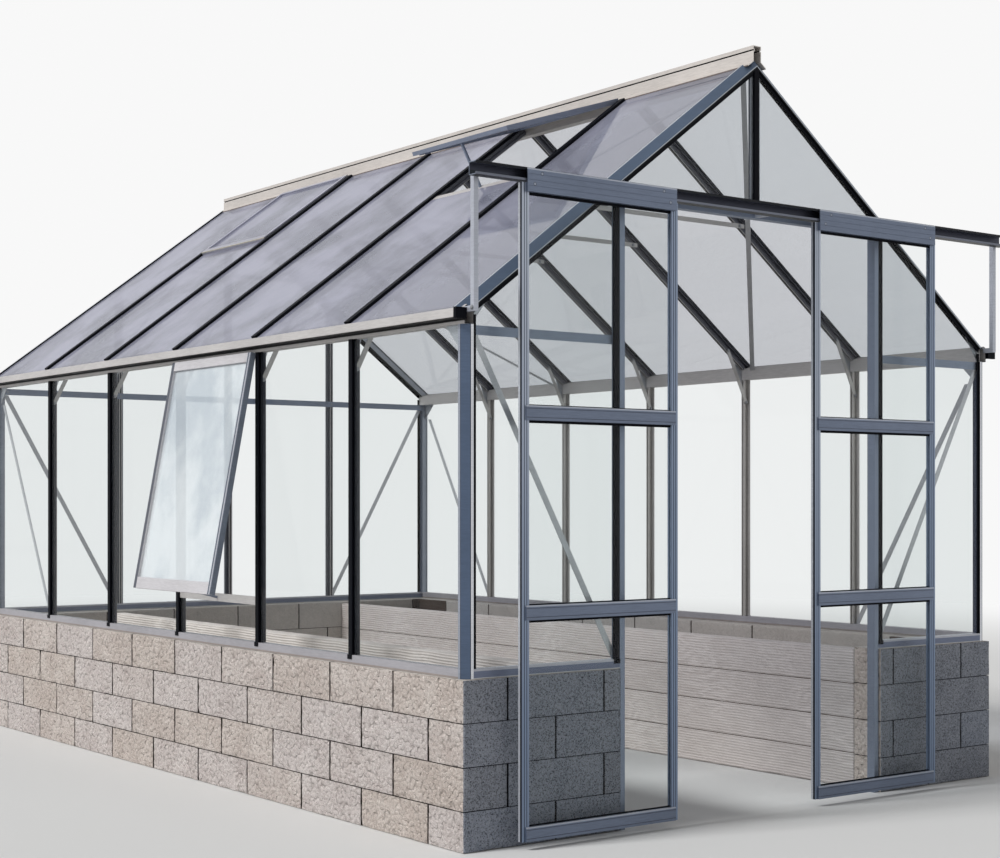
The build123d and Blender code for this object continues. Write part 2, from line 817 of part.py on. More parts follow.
def opening_stays(vent_frames, window_frame):
    """Prop of each open roof vent and prop of the side window, cut off at what they hold."""
    solids = []
    for index, angle, frame in zip(vent_bay_indexes, vent_open_angles, vent_frames):
        if angle == 0:
            continue
        y = (frame_line(index) + frame_line(index + 1)) / 2
        foot_s = vent_start - vent_lower_rail / 2
        arm = vent_end - foot_s
        drop = vent_depth - glass_thickness
        turn = math.radians(angle)
        head_s = vent_end - arm * math.cos(turn) - drop * math.sin(turn)
        head_n = vent_depth + arm * math.sin(turn) - drop * math.cos(turn)
        up_slope = roof_plane(y).z_dir
        origin = roof_plane(y - stay_size / 2).origin
        upright = Plane(origin=origin, x_dir=up_slope, z_dir=(0, 1, 0))
        bar = flat_bar((foot_s, 0), (head_s, head_n), stay_size, stay_size, upright)
        above = slope_box((y - stay_size, y + stay_size), (0, slope_length), (glass_thickness, arm))
        solids.append(mirror(bar & above, Plane.YZ) - frame)
    turn = math.radians(window_open_angle)
    y = sum(window_bay_span(0)) / 2
    hinge_x = -half_frame - window_depth
    arm = window_height - window_foot / 2
    foot = (-glass_face, transom_bottom + transom_height / 2)
    head = (hinge_x - arm * math.sin(turn), eave_beam_bottom - arm * math.cos(turn))
    upright = Plane(origin=(0, y + stay_size / 2, 0), x_dir=(1, 0, 0), z_dir=(0, -1, 0))
    bar = flat_bar(foot, head, stay_size, stay_size, upright)
    outer_face = -glass_face - glass_thickness
    outside = slab((2 * head[0], outer_face), (y - stay_size, y + stay_size), (0, eave_height))
    prop = ((bar & outside) - window_frame).solids().sort_by(Axis.X)[-1]
    return [*solids, prop]


# Door rail and sliding doors


def door_rail():
    """Rail channel: back plate, hood over the rollers and an upturned track."""
    front = header_front + door_header_plate + running_gap
    back = rail_back
    top = rail_bottom + rail_height
    wall = rail_wall
    points = [
        (back, rail_bottom),
        (back, top),
        (front, top),
        (front, top - rail_lip),
        (front + wall, top - rail_lip),
        (front + wall, top - wall),
        (back - wall, top - wall),
        (back - wall, rail_bottom + wall),
        (front + wall, rail_bottom + wall),
        (front + wall, rail_bottom + rail_lip),
        (front, rail_bottom + rail_lip),
        (front, rail_bottom),
    ]
    outline = Plane.YZ * make_face(Polyline(*points, close=True))
    return extrude(outline, rail_half_length, both=True)


def rail_supports():
    """End struts on the eave beams, and brackets at the jambs and the mullion."""
    x = (half_frame - strut_size, half_frame)
    foot_z = eave_height - strut_size
    strut = slab(x, (rail_back, rail_back + strut_size), (foot_z, rail_bottom + rail_height))
    foot = slab(x, (rail_back + strut_size, frame_front), (foot_z, eave_height))
    bracket_z = (rail_bottom, rail_bottom + rail_height - rail_lip)
    bracket_y = (rail_back, frame_front)
    jamb = slab((half_doorway - jamb_bar_width, half_doorway), bracket_y, bracket_z)
    mullion = slab((-jamb_bar_width / 2, jamb_bar_width / 2), bracket_y, bracket_z)
    return [*both_sides(strut + foot), *both_sides(jamb), mullion]


def door_bar_section(width, pane_edges):
    """Hollow door bar with its front at Y 0, two front grooves and panes let in at some edges."""
    outline = Pos(0, door_depth / 2) * Rectangle(width, door_depth)
    for place in (-width / 6, width / 6):
        outline -= Pos(place, 0) * Rectangle(door_groove_width, 2 * door_groove_depth)
    low, high = -width / 2 + door_wall, width / 2 - door_wall
    for edge in pane_edges:
        outline -= Pos(edge * width / 2, door_depth / 2) * Rectangle(2 * glass_bite, glass_thickness)
        low += glass_bite * (edge < 0)
        high -= glass_bite * (edge > 0)
    bore = Rectangle(high - low, door_depth - 2 * door_wall - door_groove_depth)
    return outline - Pos((low + high) / 2, (door_depth + door_groove_depth) / 2) * bore


def grooved_plate(x, y, z, groove_span, shares):
    """Plate in front of a door, with grooves at some shares of a span of Z."""
    plate = slab(x, y, z)
    for share in shares:
        middle = groove_span[0] + (groove_span[1] - groove_span[0]) * share
        groove_z = (middle - door_groove_width / 2, middle + door_groove_width / 2)
        plate -= slab(x, (y[0], y[0] + door_groove_depth), groove_z)
    return plate


def door_header(plate_x, light_x, z):
    """Header box between the stiles, with a grooved plate in front that laps over the rail."""
    box_y = (door_front, door_back)
    bottom, top = z
    header = slab(light_x, box_y, z) - slab(
        light_x,
        (door_front + door_wall, door_back - door_wall),
        (bottom + glass_bite + door_wall, top - door_wall),
    )
    shares = (1 / 4, 1 / 2, 3 / 4)
    step = grooved_plate(plate_x, (header_front, door_front), z, (bottom, door_top), shares)
    lap_y = (header_front, header_front + door_header_plate)
    lap = grooved_plate(plate_x, lap_y, (top, door_top), (bottom, door_top), shares)
    return header + step + lap


def door(name, left_edge):
    x = (left_edge, left_edge + door_width)
    light_x = (x[0] + door_stile, x[1] - door_stile)
    plate_x = (x[0] + door_front_inset, x[1] - door_front_inset)
    middle_y = (door_front + door_back) / 2
    pane_y = (middle_y - glass_thickness / 2, middle_y + glass_thickness / 2)
    stile_top = rail_bottom - running_gap
    header_bottom = door_top - door_header_height
    half_rail = door_rail_height / 2
    rails_z = [
        (door_bottom, door_bottom + door_bottom_rail),
        (door_lower_rail_middle - half_rail, door_lower_rail_middle + half_rail),
        (door_upper_rail_middle - half_rail, door_upper_rail_middle + half_rail),
        (header_bottom, stile_top),
    ]
    panes = []
    for lower, upper in zip(rails_z, rails_z[1:]):
        edge_x = (light_x[0] - glass_bite, light_x[1] + glass_bite)
        panes.append(slab(edge_x, pane_y, (lower[1] - glass_bite, upper[0] + glass_bite)))

    stiles = []
    for middle_x, inner in ((x[0] + door_stile / 2, 1), (x[1] - door_stile / 2, -1)):
        start = Plane(origin=(middle_x, door_front, door_bottom), x_dir=(1, 0, 0), z_dir=(0, 0, 1))
        section = door_bar_section(door_stile, [inner])
        stiles.append(extrude(start * section, stile_top - door_bottom))
    rails = []
    for index, (low, high) in enumerate(rails_z[:-1]):
        middle = (low + high) / 2
        start = Plane(origin=(light_x[0], door_front, middle), x_dir=(0, 0, -1), z_dir=(1, 0, 0))
        edges = [-1] if index == 0 else [-1, 1]
        section = door_bar_section(high - low, edges)
        rail = extrude(start * section, light_x[1] - light_x[0])
        front_y = (door_front - door_rail_proud, door_front)
        rails.append(rail + grooved_plate(plate_x, front_y, (low, high), (low, high), (1 / 5, 4 / 5)))
    header = door_header(plate_x, light_x, rails_z[-1]) - panes[-1]
    return {
        f"{name}_door_stiles": stiles,
        f"{name}_door_rails": [*rails, header],
        f"{name}_door_glass": panes,
        f"{name}_door_rollers": door_rollers(x),
    }


def door_rollers(x):
    """Two rollers a door, on pins from the header plate, running on the rail's floor."""
    centre_z = rail_bottom + rail_wall + roller_clearance + roller_radius
    plate_back = header_front + door_header_plate
    wheel_y = rail_back - rail_wall - wheel_gap - roller_width
    rollers = []
    for centre_x in (x[0] + roller_inset, x[1] - roller_inset):
        start = Plane(origin=(centre_x, wheel_y, centre_z), x_dir=(1, 0, 0), z_dir=(0, 1, 0))
        wheel = extrude(start * Circle(roller_radius), roller_width)
        pin = extrude(start * Circle(roller_pin_radius), plate_back - wheel_y)
        rollers.append(wheel + pin)
    return rollers


# All nodes


def build():
    left_rafters = [mirror(tube, Plane.YZ) for tube in gable_rafters()]
    vents = roof_vents()
    window = side_window()
    nodes = {
        **masonry(),
        **sills(),
        "corner_posts": corner_posts(),
        "side_posts": side_posts(),
        "gable_posts": gable_posts(),
        "door_jambs": door_jambs(),
        "gable_ties": gable_ties(),
        "left_eave_beam": mirror(eave_beam(), Plane.YZ),
        "right_eave_beam": eave_beam(),
        "gutter_end_caps": gutter_end_caps(),
        "ridge_beam": ridge_beam(),
        "ridge_cap": ridge_cap(),
        "rafters": rafters(),
        "left_gable_rafters": left_rafters,
        "right_gable_rafters": gable_rafters(),
        **bar_caps(),
        **frame_bracing(),
        "wall_braces": wall_braces(),
        "roof_braces": roof_braces(),
        **wall_glass(),
        **gable_glass(),
        **roof_glass(),
        "opening_sills": opening_sills(),
        **vents,
        **window,
        "opening_stays": opening_stays(vents["roof_vent_frames"], window["side_window_frame"]),
        "door_rail": door_rail(),
        "rail_supports": rail_supports(),
        **door("left", left_door_edge),
        **door("right", right_door_edge),
    }
    panes = nodes["front_gable_glass"] + nodes["rear_gable_glass"]
    panes += nodes["left_wall_glass"] + nodes["right_wall_glass"]
    posts = nodes["corner_posts"]
    for pane in panes:
        posts = [post - pane for post in posts]
    nodes["corner_posts"] = posts
    return nodes


os.makedirs("parts", exist_ok=True)
for node, solids in build().items():
    pieces = solids if isinstance(solids, list) else [solids]
    flat = [solid for piece in pieces for solid in piece.solids()]
    export_step(Compound(children=flat), f"parts/{node}.step")
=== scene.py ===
import math

import bpy
import numpy as np
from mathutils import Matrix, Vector


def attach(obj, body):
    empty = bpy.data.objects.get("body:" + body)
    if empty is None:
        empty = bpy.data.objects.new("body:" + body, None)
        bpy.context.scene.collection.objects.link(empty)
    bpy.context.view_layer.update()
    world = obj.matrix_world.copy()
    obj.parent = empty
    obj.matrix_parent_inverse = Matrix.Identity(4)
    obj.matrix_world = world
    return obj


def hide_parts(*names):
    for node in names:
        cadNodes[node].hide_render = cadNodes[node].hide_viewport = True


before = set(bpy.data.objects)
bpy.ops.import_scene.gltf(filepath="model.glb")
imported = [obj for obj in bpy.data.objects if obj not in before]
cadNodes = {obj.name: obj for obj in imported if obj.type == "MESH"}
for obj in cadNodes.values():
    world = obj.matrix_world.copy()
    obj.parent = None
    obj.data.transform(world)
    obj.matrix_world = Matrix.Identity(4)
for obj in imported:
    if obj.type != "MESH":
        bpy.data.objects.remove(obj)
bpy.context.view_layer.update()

print("frame loaded", len(cadNodes), "nodes")


class Signal:
    # one shader socket; each operator adds a Math node
    def __init__(self, shader, socket):
        self.shader, self.socket = shader, socket

    def math(self, operation, *values):
        return self.shader.math(operation, *values)

    def __add__(self, other): return self.math("ADD", self, other)
    def __radd__(self, other): return self.math("ADD", other, self)
    def __sub__(self, other): return self.math("SUBTRACT", self, other)
    def __rsub__(self, other): return self.math("SUBTRACT", other, self)
    def __mul__(self, other): return self.math("MULTIPLY", self, other)
    def __rmul__(self, other): return self.math("MULTIPLY", other, self)
    def __truediv__(self, other): return self.math("DIVIDE", self, other)
    def __pow__(self, other): return self.math("POWER", self, other)
    def __gt__(self, other): return self.math("GREATER_THAN", self, other)
    def __lt__(self, other): return self.math("LESS_THAN", self, other)
    def __and__(self, other): return self.math("MULTIPLY", self, other)
    def __or__(self, other): return self.math("MAXIMUM", self, other)
    def __abs__(self): return self.math("ABSOLUTE", self)


class Shader:
    def __init__(self, name):
        self.material = bpy.data.materials.new(name)
        self.material.use_nodes = True
        self.tree = self.material.node_tree
        self.tree.nodes.clear()
        self.place = self.add("ShaderNodeTexCoord", output="Object")
        self.x, self.y, self.z = (
            self.add("ShaderNodeSeparateXYZ", None, {0: self.place}, axis) for axis in range(3))

    # node type and settings, then the values or links of its sockets
    def add(self, kind, settings=None, inputs=None, output=0):
        node = self.tree.nodes.new(kind)
        for key, value in (settings or {}).items():
            setattr(node, key, value)
        for key, value in (inputs or {}).items():
            if isinstance(value, Signal):
                self.tree.links.new(value.socket, node.inputs[key])
            else:
                node.inputs[key].default_value = value
        return Signal(self, node.outputs[output] if len(node.outputs) else None)

    def math(self, operation, *values):
        return self.add("ShaderNodeMath", {"operation": operation}, dict(enumerate(values)))

    def noise(self, scale, detail=2.0, roughness=0.5, stretch=(1, 1, 1)):
        place = self.add("ShaderNodeVectorMath", {"operation": "MULTIPLY"}, {0: self.place, 1: stretch})
        return self.add("ShaderNodeTexNoise", None,
                        {"Vector": place, "Scale": scale, "Detail": detail, "Roughness": roughness})

    # cells of a pattern whose place is shifted by a noise of its own, so that no cell is round
    def cells(self, scale, shift=0.0):
        warp = self.add("ShaderNodeTexNoise", None,
                        {"Vector": self.place, "Scale": scale * 0.6, "Detail": 3.0}, 1)
        place = self.add("ShaderNodeVectorMath", {"operation": "MULTIPLY_ADD"},
                         {0: warp, 1: (shift,) * 3, 2: self.place})
        return self.add("ShaderNodeTexVoronoi", None, {"Vector": place, "Scale": scale})

    # 0 below low, 1 above high, smooth between
    def step(self, value, low, high):
        return self.add("ShaderNodeMapRange", {"interpolation_type": "SMOOTHSTEP"},
                        {"Value": value, "From Min": low, "From Max": high})

    def mix(self, share, first, second):
        return self.add("ShaderNodeMix", {"data_type": "RGBA"}, {0: share, 6: first, 7: second}, 2)

    def bump(self, height, strength, distance, **below):
        return self.add("ShaderNodeBump", None,
                        {"Height": height, "Strength": strength, "Distance": distance, **below})

    def blend(self, share, first, second):
        return self.add("ShaderNodeMixShader", None, {0: share, 1: first, 2: second})

    def plastic(self, colour, roughness, gloss, metallic=0.0, **normal):
        return self.add("ShaderNodeBsdfPrincipled", None, {
            "Base Color": colour, "Roughness": roughness, "Specular IOR Level": gloss,
            "Metallic": metallic, **normal})

    def finish(self, surface):
        self.add("ShaderNodeOutputMaterial", None, {"Surface": surface})
        return self.material


# a screen colour (0 to 255) as the linear colour that the nodes take
def tint(red, green, blue):
    share = np.array([red, green, blue]) / 255
    linear = np.where(share <= 0.04045, share / 12.92, ((share + 0.055) / 1.055) ** 2.4)
    return (*linear.tolist(), 1.0)


# a linear colour made lighter or darker, never over white
def shaded(colour, factor):
    return (*(min(1.0, value * factor) for value in colour[:3]), 1.0)


camera = {
    "place": (-5.042, -9.4285, 1.2396),
    "turn": 36.74,           # degrees to the right of +Y
    "focal": 1753.4,         # in pixels of a picture of the size below
    "centre": (497.5, 500.96),
    "size": (1000, 858),
    "sensor": 36,
    "reach": 200,
}


def placeCamera():
    width, height = camera["size"]
    middleX, middleY = camera["centre"]
    lens = bpy.data.cameras.new("camera")
    lens.sensor_width = camera["sensor"]
    lens.lens = camera["focal"] * camera["sensor"] / width
    lens.shift_x = (width / 2 - middleX) / width
    lens.shift_y = (middleY - height / 2) / width
    lens.clip_end = camera["reach"]
    eye = bpy.data.objects.new("camera", lens)
    eye.location = camera["place"]
    eye.rotation_euler = (math.radians(90), 0, -math.radians(camera["turn"]))
    bpy.context.scene.collection.objects.link(eye)
    bpy.context.scene.camera = eye


studio = {
    "background": 0.94,      # as seen by the camera, in glass and in metal
    "fill": 0.37,            # the world's light on the object
    "sunFrom": (-0.78, 0.12, 0.62),
    "sunStrength": 2.4,
    "sunSoftness": 14.0,     # degrees
    "floorColour": (224, 224, 223),
    "floorReach": 60.0,
    "floorFade": (5.5, 13.0),
    "floorDrop": 0.001,
}
white = (1, 1, 1, 1)


# 1 for rays that show the background: from the camera, off gloss or through glass
def backgroundRays(shader):
    path = [shader.add("ShaderNodeLightPath", output=name)
            for name in ("Is Camera Ray", "Is Glossy Ray", "Is Transmission Ray")]
    return path[0] | path[1] | path[2]


def lightStudio():
    scene = bpy.context.scene
    scene.view_settings.view_transform = "Standard"
    world = bpy.data.worlds.new("studio")
    scene.world = world
    world.use_nodes = True
    world.node_tree.nodes.clear()
    shader = Shader.__new__(Shader)
    shader.tree = world.node_tree
    strength = backgroundRays(shader) * (studio["background"] - studio["fill"]) + studio["fill"]
    light = shader.add("ShaderNodeBackground", None, {"Color": white, "Strength": strength})
    shader.add("ShaderNodeOutputWorld", None, {"Surface": light})

    sun = bpy.data.lights.new("sun", "SUN")
    sun.energy = studio["sunStrength"]
    sun.angle = math.radians(studio["sunSoftness"])
    lamp = bpy.data.objects.new("sun", sun)
    lamp.rotation_euler = Vector(studio["sunFrom"]).to_track_quat("Z", "Y").to_euler()
    scene.collection.objects.link(lamp)


# pale ground that keeps the shadow near the object and fades into the background further out
def paleFloor():
    shader = Shader("studioFloor")
    radius = shader.add("ShaderNodeVectorMath", {"operation": "LENGTH"}, {0: shader.place}, 1)
    paint = shader.add("ShaderNodeBsdfDiffuse", None, {"Color": tint(*studio["floorColour"])})
    glow = shader.add("ShaderNodeEmission", None, {"Color": white, "Strength": studio["background"]})
    share = shader.step(radius, *studio["floorFade"]) * backgroundRays(shader)
    shader.finish(shader.blend(share, paint, glow))
    reach = studio["floorReach"]
    mesh = bpy.data.meshes.new("floor")
    corners = [(-reach, -reach, 0), (reach, -reach, 0), (reach, reach, 0), (-reach, reach, 0)]
    mesh.from_pydata(corners, [], [(0, 1, 2, 3)])
    mesh.materials.append(shader.material)
    floor = bpy.data.objects.new("floor", mesh)
    bpy.context.scene.collection.objects.link(floor)
    floor.location.z = -studio["floorDrop"]


placeCamera()
lightStudio()
paleFloor()
print("camera, light and floor placed")


# lines of the part that the finishes and trims follow, in metres as in the CAD
part = {
    "halfFrame": 1.444, "front": -4.415, "rear": 0.065, "postSize": 0.040,
    "firstFrame": -4.395, "bay": 0.740, "bays": 6,
    "eave": 1.925, "ridge": 3.010, "sillTop": 0.645,
    "glassFront": -4.407, "glassRear": 0.057, "pane": 0.004,
    "leftLeaf": -1.260, "rightLeaf": 0.237, "doorWidth": 0.745, "stile": 0.032,
    "doorBottom": 0.030, "bottomRail": 0.052, "railMiddles": (0.842, 1.553), "railHalf": 0.0265,
    "headerBottom": 2.337, "doorTop": 2.420, "leafPane": (-4.498, -4.494),
}
part["slope"] = (part["ridge"] - part["eave"]) / part["halfFrame"]
part["pitch"] = math.atan(part["slope"])
part["frameLines"] = part["firstFrame"] + part["bay"] * np.arange(1, part["bays"])
part["barTops"] = (part["doorBottom"] + part["bottomRail"],
                   *(middle + part["railHalf"] for middle in part["railMiddles"]))
part["barBottoms"] = (*(middle - part["railHalf"] for middle in part["railMiddles"]), part["headerBottom"])

# block walls and bed walls; steps are the widths of the grid on a block's faces
masonry = {
    "halfWidth": 1.460, "front": -4.425, "rear": 0.075, "top": 0.610, "thickness": 0.150,
    "courseTops": (0.610, 0.455, 0.300, 0.145), "block": 0.450, "offsetBlocks": 9, "halfDoorway": 0.725,
    "cornerEnd": 0.200, "cornerReach": 0.420, "cornerOffset": 0.220, "rearBlocks": (6, 5),
    "joint": 0.0075, "flatJoint": 0.0028, "bedJoint": 0.003,
    "jointDepth": 0.012, "bedJointDepth": 0.005, "mortarFoot": 0.004,
    "step": 0.0110, "deepStep": 0.05, "legStep": 0.024, "bedStep": (0.03, 0.05, 0.03),
    "arris": 0.012, "closest": 0.0015,
    "relief": 0.0095, "reliefSizes": (0.085, 0.045, 0.023), "reliefShares": (0.28, 0.34, 0.38),
    "sawnRelief": 0.0012, "sawnSize": 0.03, "bedRelief": 0.0012, "bedSize": 0.06,
    "chip": 0.0045, "chipSize": 0.03, "chipReach": 0.006,
    "bedThickness": 0.090, "bedTop": 0.600, "bedCourses": 4,
}
# first seed of each kind of block, the step from course to course, and what the right wall adds
seeds = {"side": 300, "return": 900, "rear": 2000, "bed": 3000, "course": 40, "bedCourse": 10,
         "rearCorner": 17, "leftCorner": 1, "rightCorner": 5, "right": 500, "rightBed": 5}


# a lattice of fixed pseudo-random values between 0 and 1
def latticeValue(cell, seed):
    key = cell @ np.array([127.1, 311.7, 74.7]) + seed * 19.19
    return np.modf(np.abs(np.sin(key) * 43758.5453))[0]


# value noise: weights of the eight corners are products of s(t) = 3t^2 - 2t^3 along each axis
def roughness(points, size, seed):
    scaled = points / size
    cell = np.floor(scaled)
    share = scaled - cell
    share = share * share * (3 - 2 * share)
    total = np.zeros(len(points))
    for corner in np.ndindex(2, 2, 2):
        corner = np.array(corner)
        weight = np.prod(np.where(corner == 1, share, 1 - share), axis=1)
        total += weight * latticeValue(cell + corner, seed)
    return total


# grid lines along one edge of a block: close to both arrises, even between
def gridLines(low, high, step, extra=()):
    arris = min(masonry["arris"], (high - low) / 4)
    count = max(1, int(round((high - low - 2 * arris) / step)))
    lines = np.linspace(low + arris, high - arris, count + 1)
    lines = np.concatenate([[low, low + arris / 3], lines, [high - arris / 3, high], extra])
    lines = np.unique(np.round(lines, 6))
    keep = np.concatenate([[True], np.diff(lines) > masonry["closest"]])
    return lines[keep]


# the quads between a full cell and an empty one of a lattice, turned outwards, with the side each
# is on: 2 * axis, and one more on the high side
def shell(lines, full):
    padded = np.pad(full, 1)
    units = np.eye(3, dtype=int)
    quads, sides = [], []
    for axis in range(3):
        across, up = units[(axis + 1) % 3], units[(axis + 2) % 3]
        for far in (0, 1):
            outside = np.roll(padded, -1 if far else 1, axis)
            corner = np.argwhere((padded & ~outside)[1:-1, 1:-1, 1:-1])
            corner[:, axis] += far
            loop = np.stack([corner, corner + across, corner + across + up, corner + up], 1)
            quads.append(loop if far else loop[:, ::-1])
            sides.append(np.full(len(corner), 2 * axis + far))
    quads = np.concatenate(quads)
    shape = np.array([len(line) for line in lines])
    flat = (quads[..., 0] * shape[1] + quads[..., 1]) * shape[2] + quads[..., 2]
    used, faces = np.unique(flat, return_inverse=True)
    place = np.stack(np.unravel_index(used, shape), 1)
    points = np.stack([lines[axis][place[:, axis]] for axis in range(3)], 1)
    return points, faces.reshape(-1, 4), np.concatenate(sides)


# a mesh object of quads; slots choose a finish per face, tone is a value per point for the finishes
def makePiece(name, points, faces, finishes, slots=None, smooth=False, tone=None):
    mesh = bpy.data.meshes.new(name)
    mesh.vertices.add(len(points))
    mesh.vertices.foreach_set("co", np.asarray(points, np.float32).ravel())
    width = faces.shape[1]
    mesh.loops.add(faces.size)
    mesh.loops.foreach_set("vertex_index", faces.ravel().astype(np.int32))
    mesh.polygons.add(len(faces))
    mesh.polygons.foreach_set("loop_start", np.arange(0, faces.size, width, dtype=np.int32))
    for finish in finishes:
        mesh.materials.append(finish)
    if slots is not None:
        mesh.polygons.foreach_set("material_index", np.asarray(slots, np.int32))
    mesh.polygons.foreach_set("use_smooth", np.full(len(faces), smooth))
    if tone is not None:
        attribute = mesh.attributes.new("tone", "FLOAT", "POINT")
        attribute.data.foreach_set("value", np.asarray(tone, np.float32))
    mesh.update(calc_edges=True)
    mesh.validate()
    piece = bpy.data.objects.new(name, mesh)
    bpy.context.scene.collection.objects.link(piece)
    print(name, len(faces) * 2, "triangles")
    return piece


blockFinish = {
    "split": {"light": (255, 246, 240), "dark": (208, 193, 186), "warm": (240, 226, 212),
              "cool": (226, 218, 220), "pit": (100, 86, 78),
              "pitShare": 0.14, "pitShade": 0.25, "speckle": 0.14, "shadedCrease": 0.26,
              "crag": 58.0, "cragBump": 1.0, "cragDepth": 0.022, "bump": 0.8},
    # painted shade: the sawn faces all face the gables, and their darker, bluer tones stand for the shade
    # on them
    "sawnShaded": {"light": (160, 165, 176), "dark": (112, 118, 131), "warm": (150, 150, 152),
             "cool": (124, 131, 144), "pit": (44, 46, 52),
             "pitShare": 0.40, "pitShade": 0.6, "speckle": 0.75, "shadedCrease": 0.1,
             "crag": 90.0, "cragBump": 0.35, "cragDepth": 0.006, "bump": 0.8},
    "inner": {"light": (204, 197, 190), "dark": (178, 172, 166), "warm": (196, 188, 180),
              "cool": (184, 182, 180), "pit": (126, 120, 114),
              "pitShare": 0.12, "pitShade": 0.25, "speckle": 0.3, "shadedCrease": 0.1,
              "crag": 60.0, "cragBump": 0.3, "cragDepth": 0.006, "bump": 0.4},
    "joint": {"light": (88, 76, 70), "clouds": 60.0, "share": 0.5, "darker": 0.55, "bump": 0.5,
              "gable": (26, 28, 33), "gableDepth": 0.010},
    "bed": {"light": (255, 246, 240), "dark": (226, 214, 207), "shadedNearLight": (208, 201, 199),
            "shadedNearDark": (178, 171, 169), "near": (-4.2, -2.4), "ribPitch": 0.150 / 12},
    "bedJoint": {"light": (120, 104, 94), "clouds": 50.0, "share": 1.0, "darker": 0.6, "bump": 0.4},
    "scales": {"cloud": 8.0, "grain": 190.0, "pits": 95.0, "pitPatches": 34.0},
}


# split or sawn concrete: crags and creases painted darker where they are deep, as shade, a tone of its own
# for each block, speckles of dark and light stone, and pits painted dark as the shade in them
def blockStone(name, look):
    scales = blockFinish["scales"]
    light, dark, speckleAndShadeTint = tint(*look["light"]), tint(*look["dark"]), tint(*look["pit"])
    shader = Shader(name)
    tone = shader.add("ShaderNodeAttribute", {"attribute_name": "tone"}, None, 2)
    cloud = shader.noise(scales["cloud"], 3.0, 0.6)
    crag = shader.noise(look["crag"] * 1.5, 5.0, 0.72)
    facet = shader.cells(look["crag"], 0.7 / look["crag"])
    shadedCrease = shader.step(facet + (crag - 0.5) * 0.8, 0.62, 0.86)
    # painted shade: where the crags lie deep the stone takes the dark tone
    share = shader.step(cloud * 0.30 + crag * 0.54 + tone * 0.08, 0.32, 0.60)
    own = shader.mix(shader.step(tone, 0.15, 0.85), tint(*look["warm"]), tint(*look["cool"]))
    colour = shader.mix(0.30, shader.mix(share, dark, light), own)
    grain = shader.noise(scales["grain"], 2.0, 0.6)
    colour = shader.mix(shader.step(grain, 0.52, 0.66) * look["speckle"], colour, light)
    colour = shader.mix(shader.step(1 - grain, 0.54, 0.68) * look["speckle"], colour, speckleAndShadeTint)
    patches = shader.step(shader.noise(scales["pitPatches"], 2.0, 0.6),
                          0.62 - look["pitShare"], 0.72 - look["pitShare"])
    pit = (1 - shader.step(shader.cells(scales["pits"]), 0.12, 0.34)) * patches
    colour = shader.mix(pit * look["pitShade"], colour, speckleAndShadeTint)
    colour = shader.mix(shadedCrease * look["shadedCrease"], colour, speckleAndShadeTint)
    rough = shader.bump(crag * 1.1 - facet * 0.55 - shadedCrease * 0.3, look["cragBump"], look["cragDepth"])
    normal = shader.bump(grain * 0.5 - pit * 0.5, look["bump"], 0.003, Normal=rough)
    return shader.finish(shader.plastic(colour, 0.9, 0.2, Normal=normal))


# mortar: clouds of a darker tone; that of the walls is near black in the gable's shade
def mortar(name, look):
    shader = Shader(name)
    cloud = shader.noise(look["clouds"], 3.0, 0.6)
    light = tint(*look["light"])
    colour = shader.mix(cloud * look["share"], light, shaded(light, look["darker"]))
    if "gable" in look:
        colour = shader.mix(shader.y < part["front"] + look["gableDepth"], colour, tint(*look["gable"]))
    return shader.finish(shader.plastic(colour, 0.95, 0.1, Normal=shader.bump(cloud, look["bump"], 0.002)))


# bed walls: long planks of pale stone with fine ribs along them and a swirl like grain; the ribs' hollows
# are painted darker as shade, and the planks darker towards the doorway as shade
def bedStone():
    look = blockFinish["bed"]
    shader = Shader("bedStone")
    tone = shader.add("ShaderNodeAttribute", {"attribute_name": "tone"}, None, 2)
    swirl = shader.noise(2.4, 2.0, 0.5, (1, 0.8, 3.4))
    rings = shader.math("SINE", swirl * 90.0) * 0.5 + 0.5
    shift = shader.noise(5.0, 2.0, 0.5, (1, 1, 0.4)) * 6.0
    rib = shader.math("SINE", shader.z * (2 * math.pi / look["ribPitch"]) + shift) * 0.5 + 0.5
    cloud = shader.noise(26.0, 4.0, 0.65, (1, 0.35, 1.6))
    patch = shader.step(shader.noise(1.7, 2.0, 0.5), 0.50, 0.62)
    share = shader.step(rings * patch * 0.20 + cloud * 0.50 + rib * 0.26 + tone * 0.10, 0.14, 0.78)
    # painted shade: towards the doorway the planks take the darker near tones
    inside = shader.step(shader.y, *look["near"])
    dark = shader.mix(inside, tint(*look["shadedNearDark"]), tint(*look["dark"]))
    light = shader.mix(inside, tint(*look["shadedNearLight"]), tint(*look["light"]))
    colour = shader.mix(share, dark, light)
    normal = shader.bump(rib * 0.8 + cloud * 0.4 + rings * patch * 0.4, 0.7, 0.004)
    return shader.finish(shader.plastic(colour, 0.88, 0.2, Normal=normal))


blockMaterials = [*(blockStone(kind + "Stone", blockFinish[kind]) for kind in ("split", "sawnShaded", "inner")),
                  mortar("jointMortar", blockFinish["joint"])]
bedMaterials = [bedStone(), mortar("bedJoint", blockFinish["bedJoint"])]


# how far the points of one face lie in: the face's own relief, and chips that fade within a few
# millimetres of an arris as exp(-(edge / reach)^2)
def faceDepth(kind, place, edge, seed):
    m = masonry
    if kind == "split":
        sizes, shares = m["reliefSizes"], m["reliefShares"]
        depth = m["relief"] * (shares[0] * roughness(place, sizes[0], seed)
                               + shares[1] * np.abs(2 * roughness(place, sizes[1], seed + 3) - 1)
                               + shares[2] * roughness(place, sizes[2], seed + 7))
    elif kind == "bed":
        depth = m["bedRelief"] * roughness(place, m["bedSize"], seed)
    else:
        depth = m["sawnRelief"] * roughness(place, m["sawnSize"], seed)
    chips = m["chip"] * (0.25 + np.clip(roughness(place, m["chipSize"], seed + 11) - 0.45, 0, 1))
    return depth + chips * np.exp(-(edge / m["chipReach"]) ** 2)


